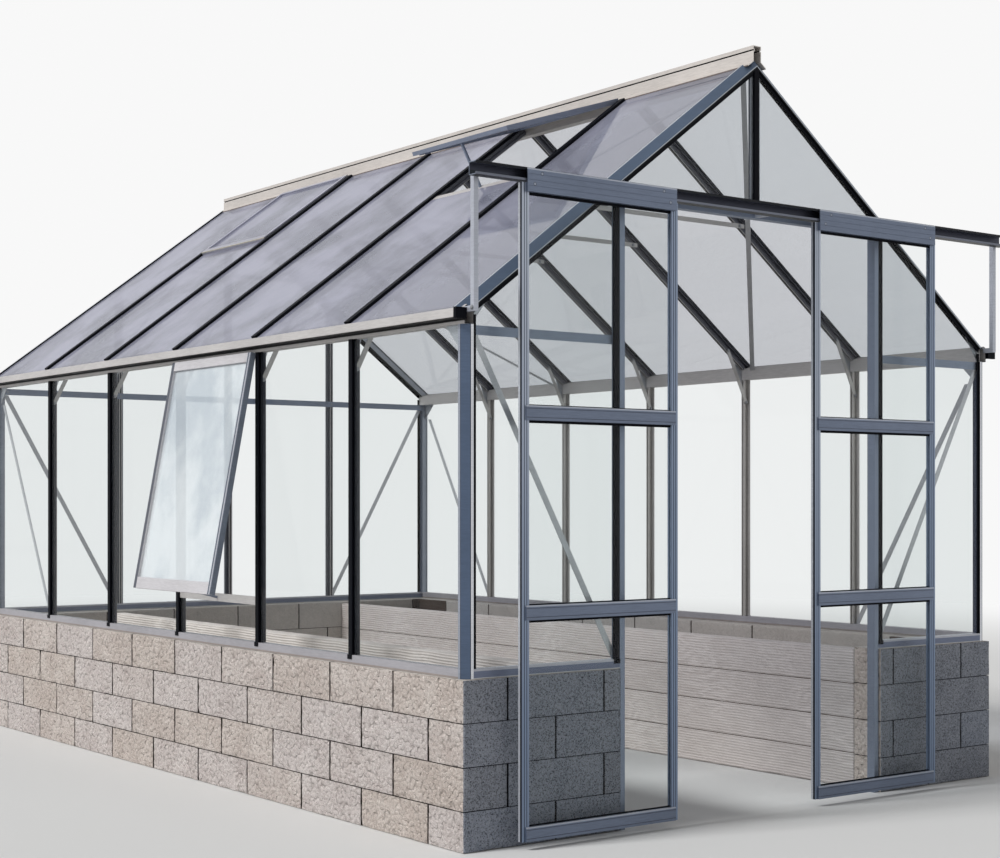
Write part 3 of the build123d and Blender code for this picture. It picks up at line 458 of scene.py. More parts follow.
# one block: a box or an angle of lattice cells whose faces are drawn in by faceDepth or by half a joint
def layBlock(corners, sideKinds, seed, step, notch=None):
    low, high = np.array(corners[0]), np.array(corners[1])
    bedBlock = "bed" in sideKinds
    joints = ("bedJoint", "bedJoint") if bedBlock else ("joint", "flatJoint")
    upright, flat = (masonry[joint] / 2 for joint in joints)
    extra = [(), (), ()] if notch is None else [(notch[0][0],), (notch[0][1],), ()]
    lines = [gridLines(low[axis], high[axis], step[axis], extra[axis]) for axis in range(3)]
    full = np.ones([len(line) - 1 for line in lines], bool)
    if notch is not None:
        middles = [(line[1:] + line[:-1]) / 2 for line in lines]
        (notchX, notchY), (signX, signY) = notch
        cut = ((middles[0] - notchX) * signX > 0)[:, None] & ((middles[1] - notchY) * signY > 0)[None, :]
        full &= ~cut[:, :, None]
    points, faces, sides = shell(lines, full)
    moved = points.copy()
    reach = np.stack([points - low, high - points], 2)      # to the low and the high side of each axis
    for axis in range(3):
        for far in (0, 1):
            kind = sideKinds[2 * axis + far]
            onSide = reach[:, axis, far] < 1e-6
            if kind == "joint":
                depth = flat if axis == 2 else upright
            else:
                edge = np.min([reach[onSide, other, side]
                               for other in range(3) if other != axis for side in (0, 1)], axis=0)
                depth = faceDepth(kind, points[onSide], edge, seed)
            moved[onSide, axis] += depth * (1 if far == 0 else -1)
    kinds = {"split": 0, "sawnShaded": 1, "inner": 2, "joint": 1 if bedBlock else 3, "bed": 0}
    slots = np.array([kinds[sideKinds[side]] for side in sides])
    tone = latticeValue(np.array([[seed, 3.0, 5.0]]), 1.0)[0]
    return moved, faces, slots, np.full(len(moved), tone)


# several meshes as one; each is a tuple of points, faces and any more values per face or point
def joinParts(parts):
    points, faces, *more = zip(*parts)
    starts = np.cumsum([0] + [len(place) for place in points[:-1]])
    faces = [quads + start for quads, start in zip(faces, starts)]
    return [np.concatenate(values) for values in (points, faces, *more)]


# the mortar between the blocks: a plain box set back from every face
def mortarCore(low, high, top, slot=3):
    lines = np.array([*zip(low, high), (masonry["mortarFoot"], top)])
    points, faces, sides = shell(lines, np.ones((1, 1, 1), bool))
    return points, faces, np.full(len(faces), slot), np.zeros(len(points))


# number, top and foot of each course, and the kinds of its blocks' lower and upper sides
def wallCourses():
    tops = masonry["courseTops"]
    bottoms = (*tops[1:], 0.0)
    for course, (top, bottom) in enumerate(zip(tops, bottoms)):
        yield course, top, bottom, "joint" if bottom else "inner", "joint" if course else "inner"


# the wall on the side with sign -1 or +1 of x, its gable return and both corners; the kinds of a
# block's sides stand in the order -x +x -y +y -z +z
def sideWallParts(sign):
    m = masonry
    parts = []
    right = sign > 0
    outwards = 1 if right else 0            # index of the side that faces out of the wall
    rightSeed = seeds["right"] if right else 0
    inFace = m["halfWidth"] - m["thickness"]
    for course, top, bottom, lowKind, topKind in wallCourses():
        longSide = course % 2 == 0
        frontLeg = m["block"] if longSide else m["cornerOffset"]
        legEnd = m["cornerEnd"] if longSide else m["cornerReach"]
        rearLeg = (m["block"] if longSide
                   else m["rear"] - m["front"] - m["cornerOffset"] - m["offsetBlocks"] * m["block"])
        courseSeed = seeds["course"] * course
        for rear, leg, edgeY, inwards in ((0, frontLeg, m["front"], 1), (1, rearLeg, m["rear"], -1)):
            x = sorted([sign * m["halfWidth"], sign * (m["halfWidth"] - legEnd)])
            y = sorted([edgeY, edgeY + inwards * leg])
            kinds = ["joint", "joint", "joint", "joint", lowKind, topKind]
            kinds[outwards] = "split"
            kinds[2 + rear] = "sawnShaded"
            parts.append(layBlock(
                ([x[0], y[0], bottom], [x[1], y[1], top]), kinds,
                courseSeed + seeds["rearCorner"] * rear + seeds["rightCorner" if right else "leftCorner"],
                (m["legStep"], m["step"], m["step"]),
                notch=((sign * inFace, edgeY + inwards * m["thickness"]), (-sign, inwards))))
        start, stop = m["front"] + frontLeg, m["rear"] - rearLeg
        edges = np.linspace(start, stop, int(round((stop - start) / m["block"])) + 1)
        x = sorted([sign * m["halfWidth"], sign * inFace])
        for index in range(len(edges) - 1):
            kinds = ["inner", "inner", "joint", "joint", lowKind, topKind]
            kinds[outwards] = "split"
            parts.append(layBlock(([x[0], edges[index], bottom], [x[1], edges[index + 1], top]), kinds,
                                  seeds["side"] + courseSeed + index + rightSeed,
                                  (m["deepStep"], m["step"], m["step"])))
        # the gable return, from the corner block to the doorway
        first = m["halfWidth"] - legEnd
        cuts = [first, first - m["block"], m["halfDoorway"]] if longSide else [first, m["halfDoorway"]]
        for index in range(len(cuts) - 1):
            x = sorted([sign * cuts[index], sign * cuts[index + 1]])
            kinds = ["joint", "joint", "sawnShaded", "inner", lowKind, topKind]
            if index == len(cuts) - 2:
                kinds[1 - outwards] = "split"
            parts.append(layBlock(
                ([x[0], m["front"], bottom], [x[1], m["front"] + m["thickness"], top]), kinds,
                seeds["return"] + courseSeed + index + rightSeed, (m["legStep"],) * 3))
    deep = m["jointDepth"]
    low, high = sorted([sign * (m["halfWidth"] - deep), sign * (inFace + deep)])
    parts.append(mortarCore((low, m["front"] + deep), (high, m["rear"] - deep), m["top"] - deep))
    low, high = sorted([sign * inFace, sign * (m["halfDoorway"] + deep)])
    parts.append(mortarCore((low, m["front"] + deep), (high, m["front"] + m["thickness"] - deep),
                            m["top"] - deep))
    return parts


# the rear wall between the corner blocks, six and five blocks by turns
def rearWallParts():
    m = masonry
    parts = []
    inFace = m["rear"] - m["thickness"]
    for course, top, bottom, lowKind, topKind in wallCourses():
        reach = m["halfWidth"] - m["cornerReach" if course % 2 else "cornerEnd"]
        edges = np.linspace(-reach, reach, m["rearBlocks"][course % 2] + 1)
        for index in range(len(edges) - 1):
            kinds = ["joint", "joint", "inner", "sawnShaded", lowKind, topKind]
            parts.append(layBlock(([edges[index], inFace, bottom], [edges[index + 1], m["rear"], top]),
                                  kinds, seeds["rear"] + seeds["course"] * course + index,
                                  (m["legStep"], m["deepStep"], m["legStep"])))
    deep = m["jointDepth"]
    reach = m["halfWidth"] - m["thickness"]
    parts.append(mortarCore((-reach, inFace + deep), (reach, m["rear"] - deep), m["top"] - deep))
    return parts


# four long courses beside the path
def bedWallParts(sign):
    m = masonry
    parts = []
    x = sorted([sign * m["halfDoorway"], sign * (m["halfDoorway"] + m["bedThickness"])])
    y = (m["front"] + m["thickness"], m["rear"] - m["thickness"])
    height = m["bedTop"] / m["bedCourses"]
    firstSeed = seeds["bed"] + (seeds["rightBed"] if sign > 0 else 0)
    for course in range(m["bedCourses"]):
        lowKind = "joint" if course else "bed"
        topKind = "joint" if course < m["bedCourses"] - 1 else "bed"
        parts.append(layBlock(([x[0], y[0], course * height], [x[1], y[1], (course + 1) * height]),
                              ["bed", "bed", "bed", "bed", lowKind, topKind],
                              firstSeed + seeds["bedCourse"] * course, m["bedStep"]))
    deep = m["bedJointDepth"]
    parts.append(mortarCore((x[0] + deep, y[0] + deep), (x[1] - deep, y[1] - deep), m["bedTop"] - deep, 1))
    return parts


def buildMasonry():
    for name, parts, replaced, materials in (
            ("left_blocks", sideWallParts(-1), ("left_wall", "front_wall_left"), blockMaterials),
            ("right_blocks", sideWallParts(1), ("right_wall", "front_wall_right"), blockMaterials),
            ("rear_blocks", rearWallParts(), ("rear_wall",), blockMaterials),
            ("left_bed_courses", bedWallParts(-1), ("left_bed_wall",), bedMaterials),
            ("right_bed_courses", bedWallParts(1), ("right_bed_wall",), bedMaterials)):
        points, faces, slots, tones = joinParts(parts)
        piece = makePiece(name, points, faces, materials, slots, True, tones)
        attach(piece, "root")
        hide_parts(*replaced)
        "bed_blocks" if "bed" in name else "wall_blocks"


buildMasonry()
print("block walls laid")


metalLook = {
    "wear": 0.06,            # how far apart the tones of the streaks lie
    "streaks": 24.0, "along": (1, 1, 12), "clouds": 3.2, "grain": 420.0,
    "gloss": 0.25, "spread": 0.14, "bump": 0.04, "bumpDepth": 0.0005,
}


# aluminium, bare or painted: streaks along its length, soft clouds, and bands of other tones by place
def metal(kind, colour, roughness=0.42, metallic=0.55, bands=None):
    look = metalLook
    shader = Shader(kind + "Metal")
    streaks = shader.noise(look["streaks"], 3.0, 0.6, look["along"])
    share = shader.step(streaks * 0.6 + shader.noise(look["clouds"], 2.0, 0.5) * 0.4, 0.3, 0.7)

    def worn(tone):
        low, high = 1 - 2.2 * look["wear"], 1 + 1.6 * look["wear"]
        return shader.mix(share, shaded(tint(*tone), low), shaded(tint(*tone), high))

    paint = worn(colour)
    for mask, tone in bands(shader, bandLines[kind]) if bands else ():
        paint = shader.mix(mask, paint, tone if isinstance(tone, Signal) else worn(tone))
    normal = shader.bump(shader.noise(look["grain"], 2.0, 0.5), look["bump"], look["bumpDepth"])
    return shader.finish(shader.plastic(paint, roughness + (streaks - 0.5) * look["spread"],
                                        look["gloss"], metallic, Normal=normal))


# distance inwards from the nearer gable's outer face
def fromEnd(shader):
    return shader.math("MINIMUM", shader.y - part["front"], part["rear"] - shader.y)


# depth under the glass, square to the slope
def underGlass(shader):
    return (part["ridge"] - abs(shader.x) * part["slope"] - shader.z) * math.cos(part["pitch"])


# distances along x from the middle lines of the two leaves
def fromLeaves(shader):
    return [shader.x - (part[leaf] + part["doorWidth"] / 2) for leaf in ("leftLeaf", "rightLeaf")]


def within(value, low, high):
    return (value > low) & (value < high)


# where bands of another tone begin and end on each extrusion; a later band lies over an earlier one
bandLines = {
    "cornerPost": {"face": 0.0005, "inside": 1.4045, "seal": 0.0085, "cutEdge": 0.0275, "cut": 0.0245},
    "gableRafter": {"seal": 0.0275, "lip": 0.022, "face": 0.001, "over": -0.004, "back": 0.0395,
                    "cut": 0.0185},
    "sidePost": {"stem": 1.4045, "flange": 1.4285},
    "gablePost": {"flange": 0.0155, "stem": 0.0395},
    "rafter": {"foot": 0.0305},
    "eaveBeam": {"lip": 1.4435, "gap": (1.8765, 1.8845), "end": 0.0003},
    "ridgeCap": {"groove": (3.0435, 3.0495), "skirt": 0.0475, "end": 0.0005},
    "doorRail": {"back": (-4.4735, -4.4725), "backHalf": 2.395, "lip": -4.5085, "lipTop": 2.405,
                 "lipFoot": 2.390, "foot": 2.3753},
    "doorStile": {"rise": (0.3, 2.3), "rightBar": (0.3, 0.4), "side": 0.3723, "seal": (-4.506, -4.4955),
                  "groove": (-4.5069, -4.5049)},
    "doorBar": {"front": -4.5065, "grooves": ((-4.5195, -4.5190), (-4.5126, -4.5121)),
                "top": (0.0050, 0.001), "bolts": ((0.2915, 2.404), (0.3245, 2.365)),
                "washer": 0.0070, "bolt": 0.0048},
    "sideSill": {"foot": 0.6175},
    "gableSill": {"face": 0.637, "foot": 0.6135},
    "window": {"rearBar": -2.2045, "frontBar": -2.8855, "pale": (-2.9045, -2.8990),
               "groove": (-2.8935, -2.8895)},
    "vent": {"closedFrom": -2.0, "lower": 1.142, "edge": 1.0935, "top": -0.014, "upper": 1.715},
}
# black of the seals, and of the painted shade under the gutters
sealAndShadeBlack = (12, 14, 18)


# painted light: the front face is painted near white as the sheen of the polished edge, and the cut corner
# and its edge dark blue as the dark surroundings mirrored in them
def cornerPostBands(shader, at):
    across, end = abs(shader.x), fromEnd(shader)
    inside = across < at["inside"]
    cut = part["halfFrame"] - across + end
    return ((end < at["face"], (222, 224, 230)), (inside, (72, 78, 92)),
            (inside & (end < at["seal"]), (10, 12, 16)),
            (cut < at["cutEdge"], (44, 52, 72)), (cut < at["cut"], (82, 96, 118)))


# painted reflection: the cut edge is painted dark blue as the dark surroundings mirrored in it
def gableRafterBands(shader, at):
    depth, end = underGlass(shader), fromEnd(shader)
    return ((depth > at["seal"], sealAndShadeBlack), ((depth > at["lip"]) & (end < at["face"]), sealAndShadeBlack),
            ((depth < at["over"]) & (end > at["back"]), sealAndShadeBlack),
            (depth + end < at["cut"], (84, 98, 118)))


# seen from outside, the half of each flange towards the front is painted dark as the cap's shadow, and the
# stem dark grey as shade; only the left, sunlit wall gets these bands
def sidePostBands(shader, at):
    left = shader.x < 0
    outside = left & (abs(shader.x) > at["flange"])
    bay = shader.math("FLOORED_MODULO", shader.y - part["firstFrame"] + part["bay"] / 2, part["bay"])
    frontHalf = bay < part["bay"] / 2
    return ((left & within(abs(shader.x), at["stem"], at["flange"]), (60, 62, 70)),
            (outside, (176, 178, 184)), (outside & frontHalf, (36, 38, 45)))


def gablePostBands(shader, at):
    end = fromEnd(shader)
    return ((within(end, at["flange"], at["stem"]), (60, 62, 70)), (end < at["flange"], (150, 154, 162)))


def rafterBands(shader, at):
    return ((underGlass(shader) > at["foot"], (176, 174, 174)),)


# painted shade: a black band just under the gutter, along its underside
def eaveBeamBands(shader, at):
    return (((abs(shader.x) > at["lip"]) & within(shader.z, *at["gap"]), sealAndShadeBlack),
            (fromEnd(shader) < at["end"], (14, 16, 20)))


# painted shade: the groove under the roll is near black as its shadow; painted light: the end face is near
# white, as light on a face that lies in shade
def ridgeCapBands(shader, at):
    return ((within(shader.z, *at["groove"]), (14, 14, 16)), (abs(shader.x) > at["skirt"], (112, 100, 94)),
            (fromEnd(shader) < at["end"], (232, 226, 220)))


# painted shade: the back of the channel is painted dark, darker in its lower half, and the underside near
# black
def doorRailBands(shader, at):
    back, lip = within(shader.y, *at["back"]), shader.y < at["lip"]
    return ((back & (shader.z > at["backHalf"]), (66, 68, 80)),
            (back & (shader.z < at["backHalf"]), (47, 53, 58)),
            (lip & (shader.z > at["lipTop"]), (24, 26, 32)),
            (lip & (shader.z < at["lipFoot"]), (112, 116, 128)), (shader.z < at["foot"], (12, 13, 16)))


# upright bars of the leaves: darker low down, and the right one of a leaf nearly all the way up,
# with a dark band on the sides and a groove along the front
def doorStileBands(shader, at):
    left, right = fromLeaves(shader)
    rightBar = within(left, *at["rightBar"]) | (right > at["rightBar"][0])
    rise = shader.mix(shader.step(shader.z, *at["rise"]) * (1 - rightBar * 0.75),
                      tint(124, 139, 163), tint(176, 184, 198))
    side = shader.math("MINIMUM", abs(left), abs(right)) > at["side"]
    return ((shader.z > 0, rise), (side & within(shader.y, *at["seal"]), (44, 48, 58)),
            (side & (shader.y > at["seal"][1]), (196, 200, 208)),
            (within(shader.y, *at["groove"]), (84, 92, 108)))


# level bars of the leaves: dark grooves, pale upper edges, and two bolt heads near each end of the
# header, a and z being the distances to one: sqrt(a^2 + z^2) < radius
def doorBarBands(shader, at):
    left, right = fromLeaves(shader)
    aside = shader.math("MINIMUM", abs(left), abs(right))
    front = shader.y < at["front"]
    grooves = [within(shader.y, *groove) for groove in at["grooves"]]
    below, above = at["top"]
    tops = [within(shader.z, top - below, top + above) for top in (*part["barTops"], part["doorTop"])]
    near = shader.math("MINIMUM", *(((aside - across) ** 2.0 + (shader.z - up) ** 2.0) ** 0.5
                                    for across, up in at["bolts"]))
    return ((grooves[0] | grooves[1], (88, 95, 110)),
            ((tops[0] | tops[1] | tops[2] | tops[3]) & front, (168, 174, 186)),
            (front & (near < at["washer"]), (74, 80, 94)), (front & (near < at["bolt"]), (150, 157, 170)))


# painted shade: the lowest few millimetres of the sill are painted darker as the shadow line at its foot
def sideSillBands(shader, at):
    return ((shader.z < at["foot"], (150, 142, 138)),)


# painted light and shade: the flat face is painted in bands as the shade and lit lip of a stepped profile,
# a darker middle and a pale foot
def gableSillBands(shader, at):
    return ((shader.z < at["face"], (112, 120, 140)), (shader.z < at["foot"], (190, 190, 192)))


def windowBands(shader, at):
    return ((shader.y > at["rearBar"], (84, 88, 98)), (shader.y < at["frontBar"], (120, 128, 142)),
            (within(shader.y, *at["pale"]), (190, 190, 194)),
            (within(shader.y, *at["groove"]), (70, 74, 84)))


# roof vents: the closed one has a pale upper rail and a lower rail painted lilac grey as shade under a pale
# front edge, the open one is bluer all over
def ventBands(shader, at):
    along = (part["halfFrame"] - abs(shader.x)) / math.cos(part["pitch"])
    closed = shader.y > at["closedFrom"]
    edge = (along < at["edge"]) & (underGlass(shader) < at["top"])
    return ((closed & (along < at["lower"]), (158, 158, 170)), (closed & edge, (204, 198, 184)),
            (closed & (along > at["upper"]), (186, 184, 186)), (1 - closed, (122, 130, 148)))


def blackCap(name):
    shader = Shader(name)
    cloud = shader.noise(14.0, 3.0, 0.6)
    colour = shader.mix(cloud, tint(4, 5, 10), tint(10, 12, 21))
    normal = shader.bump(shader.noise(500.0, 2.0, 0.6), 0.08, 0.0005)
    return shader.finish(shader.plastic(colour, 0.5 + cloud * 0.16, 0.07, Normal=normal))


paneLook = {
    "mirror": 0.04, "polish": 0.03,
    "clouds": 2.2, "drops": 130.0,
    "doorway": (3.4, 4.3),      # -y between which a film turns darker and thinner
    "darker": 0.8, "thinner": 0.2,
    "sunThrough": 0.8,
}
films = {
    "window": {"share": 0.55, "dark": (190, 199, 207), "light": (224, 229, 232), "mottle": 0.05},
    "roof": {"share": 0.56, "dark": (126, 128, 143), "light": (162, 163, 180), "mottle": 0.08},
    "rightRoof": {"share": 0.12, "dark": (160, 162, 172), "light": (196, 196, 206), "mottle": 0.2},
}


# a clear pane: light goes straight through, and the share mirrored at a slant s is m + (1 - m) s^5
# times the gloss; a film stands for the pale sky mirrored in a pane, and lets most of the sun through
def clearPane(name, colour, gloss, film=None):
    look = paneLook
    shader = Shader(name)
    clear = shader.add("ShaderNodeBsdfTransparent", None, {"Color": (*colour, 1)})
    shine = shader.add("ShaderNodeBsdfGlossy", None, {"Color": white, "Roughness": look["polish"]})
    slant = shader.add("ShaderNodeLayerWeight", None, {"Blend": 0.5}, 1)
    mirrored = slant ** 5.0 * ((1 - look["mirror"]) * gloss) + look["mirror"] * gloss
    surface = shader.blend(mirrored, clear, shine)
    if film:
        share, mottle, dark = film["share"], film["mottle"], tint(*film["dark"])
        cloud = shader.noise(look["clouds"], 4.0, 0.55)
        drops = shader.noise(look["drops"], 2.0, 0.6)
        body = shader.mix(shader.step(drops * mottle + cloud * (1 - mottle), 0.38, 0.62),
                          dark, tint(*film["light"]))
        front = shader.step(shader.y * -1, *look["doorway"])
        coat = shader.plastic(shader.mix(front * look["darker"], body, dark), 0.9, 0.1)
        amount = (share * (0.85 + cloud * 0.3) + (shader.step(drops, 0.4, 0.7) - 0.4) * (0.2 * mottle)
                  - front * (look["thinner"] * share))
        shadow = shader.add("ShaderNodeLightPath", output="Is Shadow Ray")
        surface = shader.blend(amount * (1 - shadow * look["sunThrough"]), surface, coat)
    return shader.finish(surface)


# the CAD nodes that wear each finish and, for metals, its colour, roughness, metallic share and bands;
# the walls that blocks replace wear none
# painted reflection and shade: the blue-grey of the corner post, frame and door metals stands for blue sky
# mirrored in shaded aluminium; painted sunlight: the warm cream of the eave beams and ridge cap
metals = {
    "cornerPost": ("corner_posts", (150, 156, 168), 0.42, 0.55, cornerPostBands),
    "gableRafter": ("left_gable_rafters right_gable_rafters", (172, 177, 184), 0.42, 0.55,
                    gableRafterBands),
    "sidePost": ("side_posts", (196, 193, 190), 0.45, 0.5, sidePostBands),
    "gablePost": ("gable_posts", (180, 178, 178), 0.45, 0.5, gablePostBands),
    "rafter": ("rafters", (96, 97, 104), 0.45, 0.5, rafterBands),
    "frame": ("door_jambs gable_ties opening_stays", (134, 144, 162)),
    "inner": ("knee_braces collar_ties", (190, 188, 186), 0.45, 0.5),
    "trim": ("opening_sills ridge_beam", (200, 196, 194), 0.5, 0.35),
    "eaveBeam": ("left_eave_beam right_eave_beam", (192, 189, 188), 0.5, 0.35, eaveBeamBands),
    "sideSill": ("side_sills", (164, 162, 167), 0.5, 0.3, sideSillBands),
    "support": ("rail_supports", (178, 182, 192)),
    "ridgeCap": ("ridge_cap", (198, 192, 187), 0.5, 0.3, ridgeCapBands),
    "gableSill": ("gable_sills", (176, 178, 186), 0.45, 0.5, gableSillBands),
    "window": ("side_window_frame", (197, 195, 198), 0.45, 0.4, windowBands),
    "doorRail": ("door_rail", (128, 136, 152), 0.42, 0.55, doorRailBands),
    "doorStile": ("left_door_stiles right_door_stiles", (128, 139, 158), 0.4, 0.55, doorStileBands),
    "doorBar": ("left_door_rails right_door_rails", (112, 122, 141), 0.4, 0.55, doorBarBands),
    "vent": ("roof_vent_frames", (166, 167, 182), 0.42, 0.55, ventBands),
    "brace": ("roof_braces wall_braces", (188, 190, 194), 0.4, 0.7),
    "plate": ("gusset_plates", (176, 180, 186), 0.42, 0.7),
    "bolt": ("", (150, 152, 156), 0.34, 0.8),
}
finishes = {kind: (names, metal(kind, *look)) for kind, (names, *look) in metals.items()}
finishes.update({
    "cap": ("gutter_end_caps roof_bar_caps wall_bar_caps", blackCap("capBlack")),
    "roller": ("left_door_rollers right_door_rollers", blackCap("rollerBlack")),
    "clear": ("left_wall_glass right_wall_glass front_gable_glass rear_gable_glass "
              "left_door_glass right_door_glass", clearPane("clearGlass", (0.950, 0.960, 0.960), 0.18)),
    "windowPane": ("side_window_glass",
                   clearPane("windowGlass", (0.93, 0.95, 0.955), 1.2, films["window"])),
    "roof": ("left_roof_glass roof_vent_glass",
             clearPane("roofGlass", (0.82, 0.83, 0.86), 1.0, films["roof"])),
    "rightRoof": ("right_roof_glass",
                  clearPane("rightRoofGlass", (0.86, 0.87, 0.89), 0.6, films["rightRoof"])),
})


def dressNodes():
    plain = set(cadNodes)
    for names, finish in finishes.values():
        for name in names.split():
            mesh = cadNodes[name].data
            mesh.materials.clear()
            mesh.materials.append(finish)
            mesh.polygons.foreach_set("material_index", np.zeros(len(mesh.polygons), np.int32))
            plain.remove(name)
    print("undressed:", sorted(plain))


dressNodes()
print("nodes dressed")


trims = {
    "stripWidth": 0.014, "stripDepth": 0.0025, "stripFrom": 0.028, "stripFoot": 1.402, "stripTop": 1.900,
    "footWidth": 0.028, "footDepth": 0.004, "footReach": 0.016, "footTop": 0.0015,
    "frontPosts": (-0.739, 0.739), "rearPosts": (-0.712, 0, 0.712),
    "paneStrip": 0.004, "upperPaneStrip": 0.009, "paneStripDepth": 0.003,
    "off": 0.0002, "arris": 0.0006,
}
bolts = {
    "radius": 0.0065, "small": 0.0055, "height": 0.005,
    "washer": 1.35, "washerHeight": 0.0012, "crown": 0.84, "crownHeight": 0.001,
    "braceSpots": ((1.418, 1.750), (1.288, 2.0103), (0.6405, 2.497)), "braceFace": 0.0131,  # x, z
    "plateSpots": ((1.4165, 1.8400), (1.375, 1.9449)), "plateFace": 0.0121,
    "cornerSpots": ((-4.362, 1.796), (-4.304, 1.852), (0.012, 1.796), (-0.046, 1.852)),  # y, z
    "cornerFace": 1.4259,
    "tieHeight": 1.846, "frontTie": (0.735, 0.760, 1.385), "frontFace": -4.3959,
    "rearTie": (0.712, 1.388), "rearFace": 0.0249,
    "strutHeights": (1.918, 2.395), "strutFace": 1.4441, "strutLine": -4.460,
}


# straight bars with both outer arrises cut, given by the middle lines of their backs: the outline is
# drawn with across x outward = direction, so that every face is turned outwards
def barRuns(starts, ends, outward, width, depth):
    starts, ends = np.atleast_2d(starts).astype(float), np.atleast_2d(ends).astype(float)
    outward = np.broadcast_to(np.asarray(outward, float), starts.shape)
    along = ends - starts
    along = along / np.linalg.norm(along, axis=1, keepdims=True)
    across = np.cross(outward, along)
    half, edge = width / 2, trims["arris"]
    outline = np.array([(-half, 0), (half, 0), (half, depth - edge), (half - edge, depth),
                        (-half + edge, depth), (-half, depth - edge)])
    section = outline[None, :, :1] * across[:, None] + outline[None, :, 1:] * outward[:, None]
    points = np.concatenate([starts[:, None] + section, ends[:, None] + section], 1)
    sides = [(i, (i + 1) % 6, (i + 1) % 6 + 6, i + 6) for i in range(6)]
    caps = [(5, 2, 1, 0), (5, 4, 3, 2), (6, 7, 8, 11), (8, 9, 10, 11)]
    faces = np.array(sides + caps)[None] + 12 * np.arange(len(starts))[:, None, None]
    return points.reshape(-1, 3), faces.reshape(-1, 4)


# hexagon heads on round washers: rings of twelve points, the hexagon's radius at the angle t being
# r cos(30) / cos(t mod 60 - 30)
def hexBolts(places, outward, radius):
    outward = np.broadcast_to(np.asarray(outward, float), places.shape)
    first = np.cross(outward, (0, 0, 1.0))
    second = np.cross(outward, first)
    turn = np.radians(np.arange(12) * 30.0)
    hexagon = math.cos(math.pi / 6) / np.cos(np.mod(turn, math.pi / 3) - math.pi / 6)
    washer = bolts["washer"] * np.ones(12)
    rings = ((washer, 0.0), (washer, bolts["washerHeight"]), (hexagon, bolts["washerHeight"]),
             (hexagon, bolts["height"] - bolts["crownHeight"]), (bolts["crown"] * hexagon, bolts["height"]))
    spoke = np.cos(turn)[None, :, None] * first[:, None] + np.sin(turn)[None, :, None] * second[:, None]
    points = np.concatenate([
        places[:, None] + level * outward[:, None] + radius * share[None, :, None] * spoke
        for share, level in rings], 1)
    step = np.arange(12)
    sides = [np.stack([step, (step + 1) % 12, (step + 1) % 12 + 12, step + 12], 1) + 12 * ring
             for ring in range(4)]
    pairs = np.array([(0, 1, 10, 11), (1, 2, 9, 10), (2, 3, 8, 9), (3, 4, 7, 8), (4, 5, 6, 7)])
    faces = np.concatenate(sides + [pairs[:, ::-1], pairs + 48])
    return points.reshape(-1, 3), (faces[None] + 60 * np.arange(len(places))[:, None, None]).reshape(-1, 4)


def addTrim(name, runs, finish, body):
    points, faces = joinParts(runs)
    piece = makePiece(name, points, faces, [finishes[finish][1]])
    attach(piece, body)


# height of the line that lies under the roof's outer face by inward, square to the slope
def roofLine(x, inward):
    return part["ridge"] - abs(x) * part["slope"] - inward / math.cos(part["pitch"])


# black strips that hold the gable panes along the roof edges and the corner posts
def buildEdgeStrips():
    width, depth = trims["stripWidth"], trims["stripDepth"]
    middle = trims["stripFrom"] + width / 2
    postLine = part["halfFrame"] - part["postSize"] - width / 2
    runs = []
    for plane, facing in ((part["glassFront"] - trims["off"], -1),
                          (part["glassRear"] + part["pane"] + trims["off"], 1)):
        for side in (-1, 1):
            foot, post = side * trims["stripFoot"], side * postLine
            for start, end in (((foot, plane, roofLine(foot, middle)), (0, plane, roofLine(0, middle))),
                               ((post, plane, part["sillTop"]), (post, plane, trims["stripTop"]))):
                runs.append(barRuns(start, end, (0, facing, 0), width, depth))
    addTrim("gable_edge_strips", runs, "cap", "root")


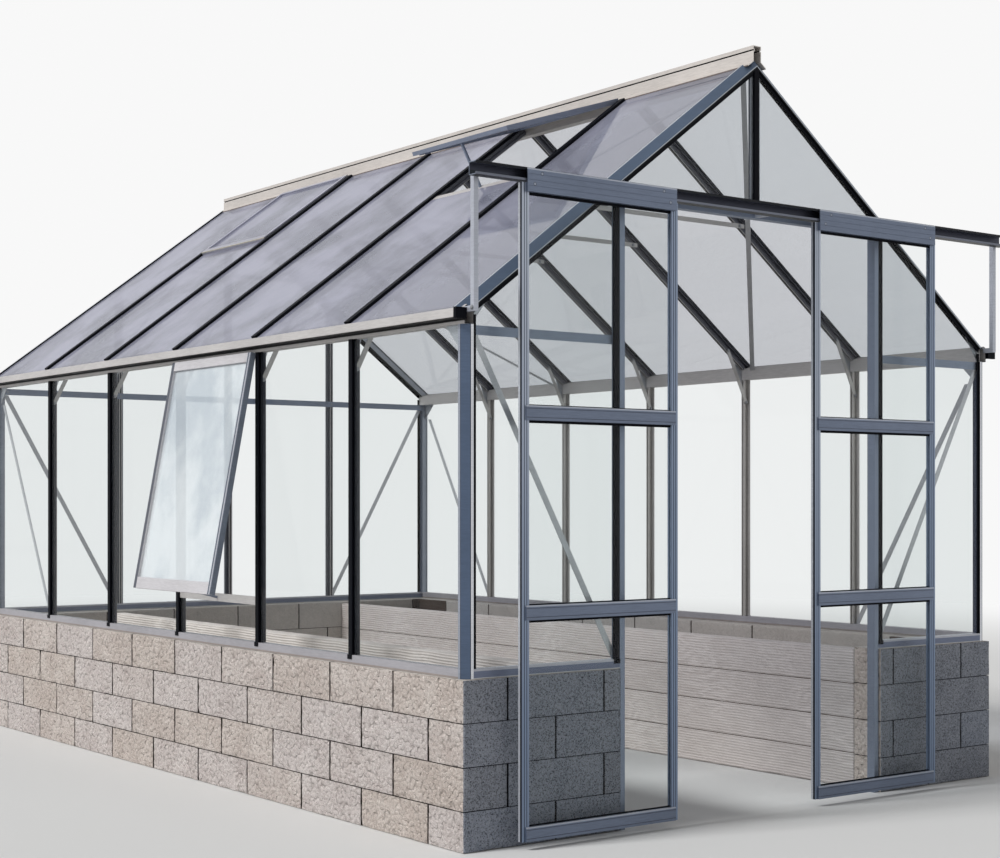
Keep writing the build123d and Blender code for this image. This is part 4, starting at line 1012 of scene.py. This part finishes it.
# the wall caps run on down over the upper half of the sill
def buildCapFeet():
    low, high = part["sillTop"] - trims["footReach"], part["sillTop"] + trims["footTop"]
    places = [(side * (part["halfFrame"] + trims["off"]), part["frameLines"], (side, 0, 0))
              for side in (-1, 1)]
    places += [(trims["frontPosts"], part["front"] - trims["off"], (0, -1, 0)),
               (trims["rearPosts"], part["rear"] + trims["off"], (0, 1, 0))]
    runs = []
    for x, y, outward in places:
        x, y = np.broadcast_arrays(np.array(x, float), y)
        foot, head = (np.stack([x, y, np.full(len(x), z)], 1) for z in (low, high))
        runs.append(barRuns(foot, head, outward, trims["footWidth"], trims["footDepth"]))
    addTrim("wall_cap_feet", runs, "cap", "root")


# black strips under and above the three panes of a leaf, on both faces; the upper ones are wider
def buildPaneStrips():
    thin, thick = trims["paneStrip"], trims["upperPaneStrip"]
    front, back = part["leafPane"]
    for name, left, body in (("left_door_pane_strips", part["leftLeaf"], "left_door"),
                             ("right_door_pane_strips", part["rightLeaf"], "right_door")):
        low, high = left + part["stile"], left + part["doorWidth"] - part["stile"]
        runs = []
        for y, facing in ((front - trims["off"], -1), (back + trims["off"], 1)):
            for bottom, top in zip(part["barTops"], part["barBottoms"]):
                for z, width in ((bottom + thin / 2, thin), (top - thick / 2, thick)):
                    runs.append(barRuns((low, y, z), (high, y, z), (0, facing, 0),
                                        width, trims["paneStripDepth"]))
        addTrim(name, runs, "cap", body)


# bolt heads on the flat bars and plates inside the frame
def buildBolts():
    runs = []

    def place(x, y, z, outward, radius=bolts["radius"]):
        spots = np.array(np.broadcast_arrays(x, y, z), float)
        runs.append(hexBolts(spots.reshape(3, -1).T, outward, radius))

    lines, small, tie = part["frameLines"], bolts["small"], bolts["tieHeight"]
    for side in (-1, 1):
        for x, z in bolts["braceSpots"]:
            place(side * x, lines - bolts["braceFace"], z, (0, -1, 0))
        for x, z in bolts["plateSpots"]:
            place(side * x, lines + bolts["plateFace"], z, (0, 1, 0), small)
        for y, z in bolts["cornerSpots"]:
            place(side * bolts["cornerFace"], y, z, (-side, 0, 0), small)
        place(side * np.array(bolts["frontTie"]), bolts["frontFace"], tie, (0, 1, 0), small)
        place(side * bolts["strutFace"], bolts["strutLine"], bolts["strutHeights"], (side, 0, 0))
        place(side * np.array(bolts["rearTie"]), bolts["rearFace"], tie, (0, -1, 0))
    place(0, bolts["rearFace"], tie, (0, -1, 0))
    addTrim("frame_bolts", runs, "bolt", "root")


buildEdgeStrips()
buildCapFeet()
buildPaneStrips()
buildBolts()
print("trims fitted")
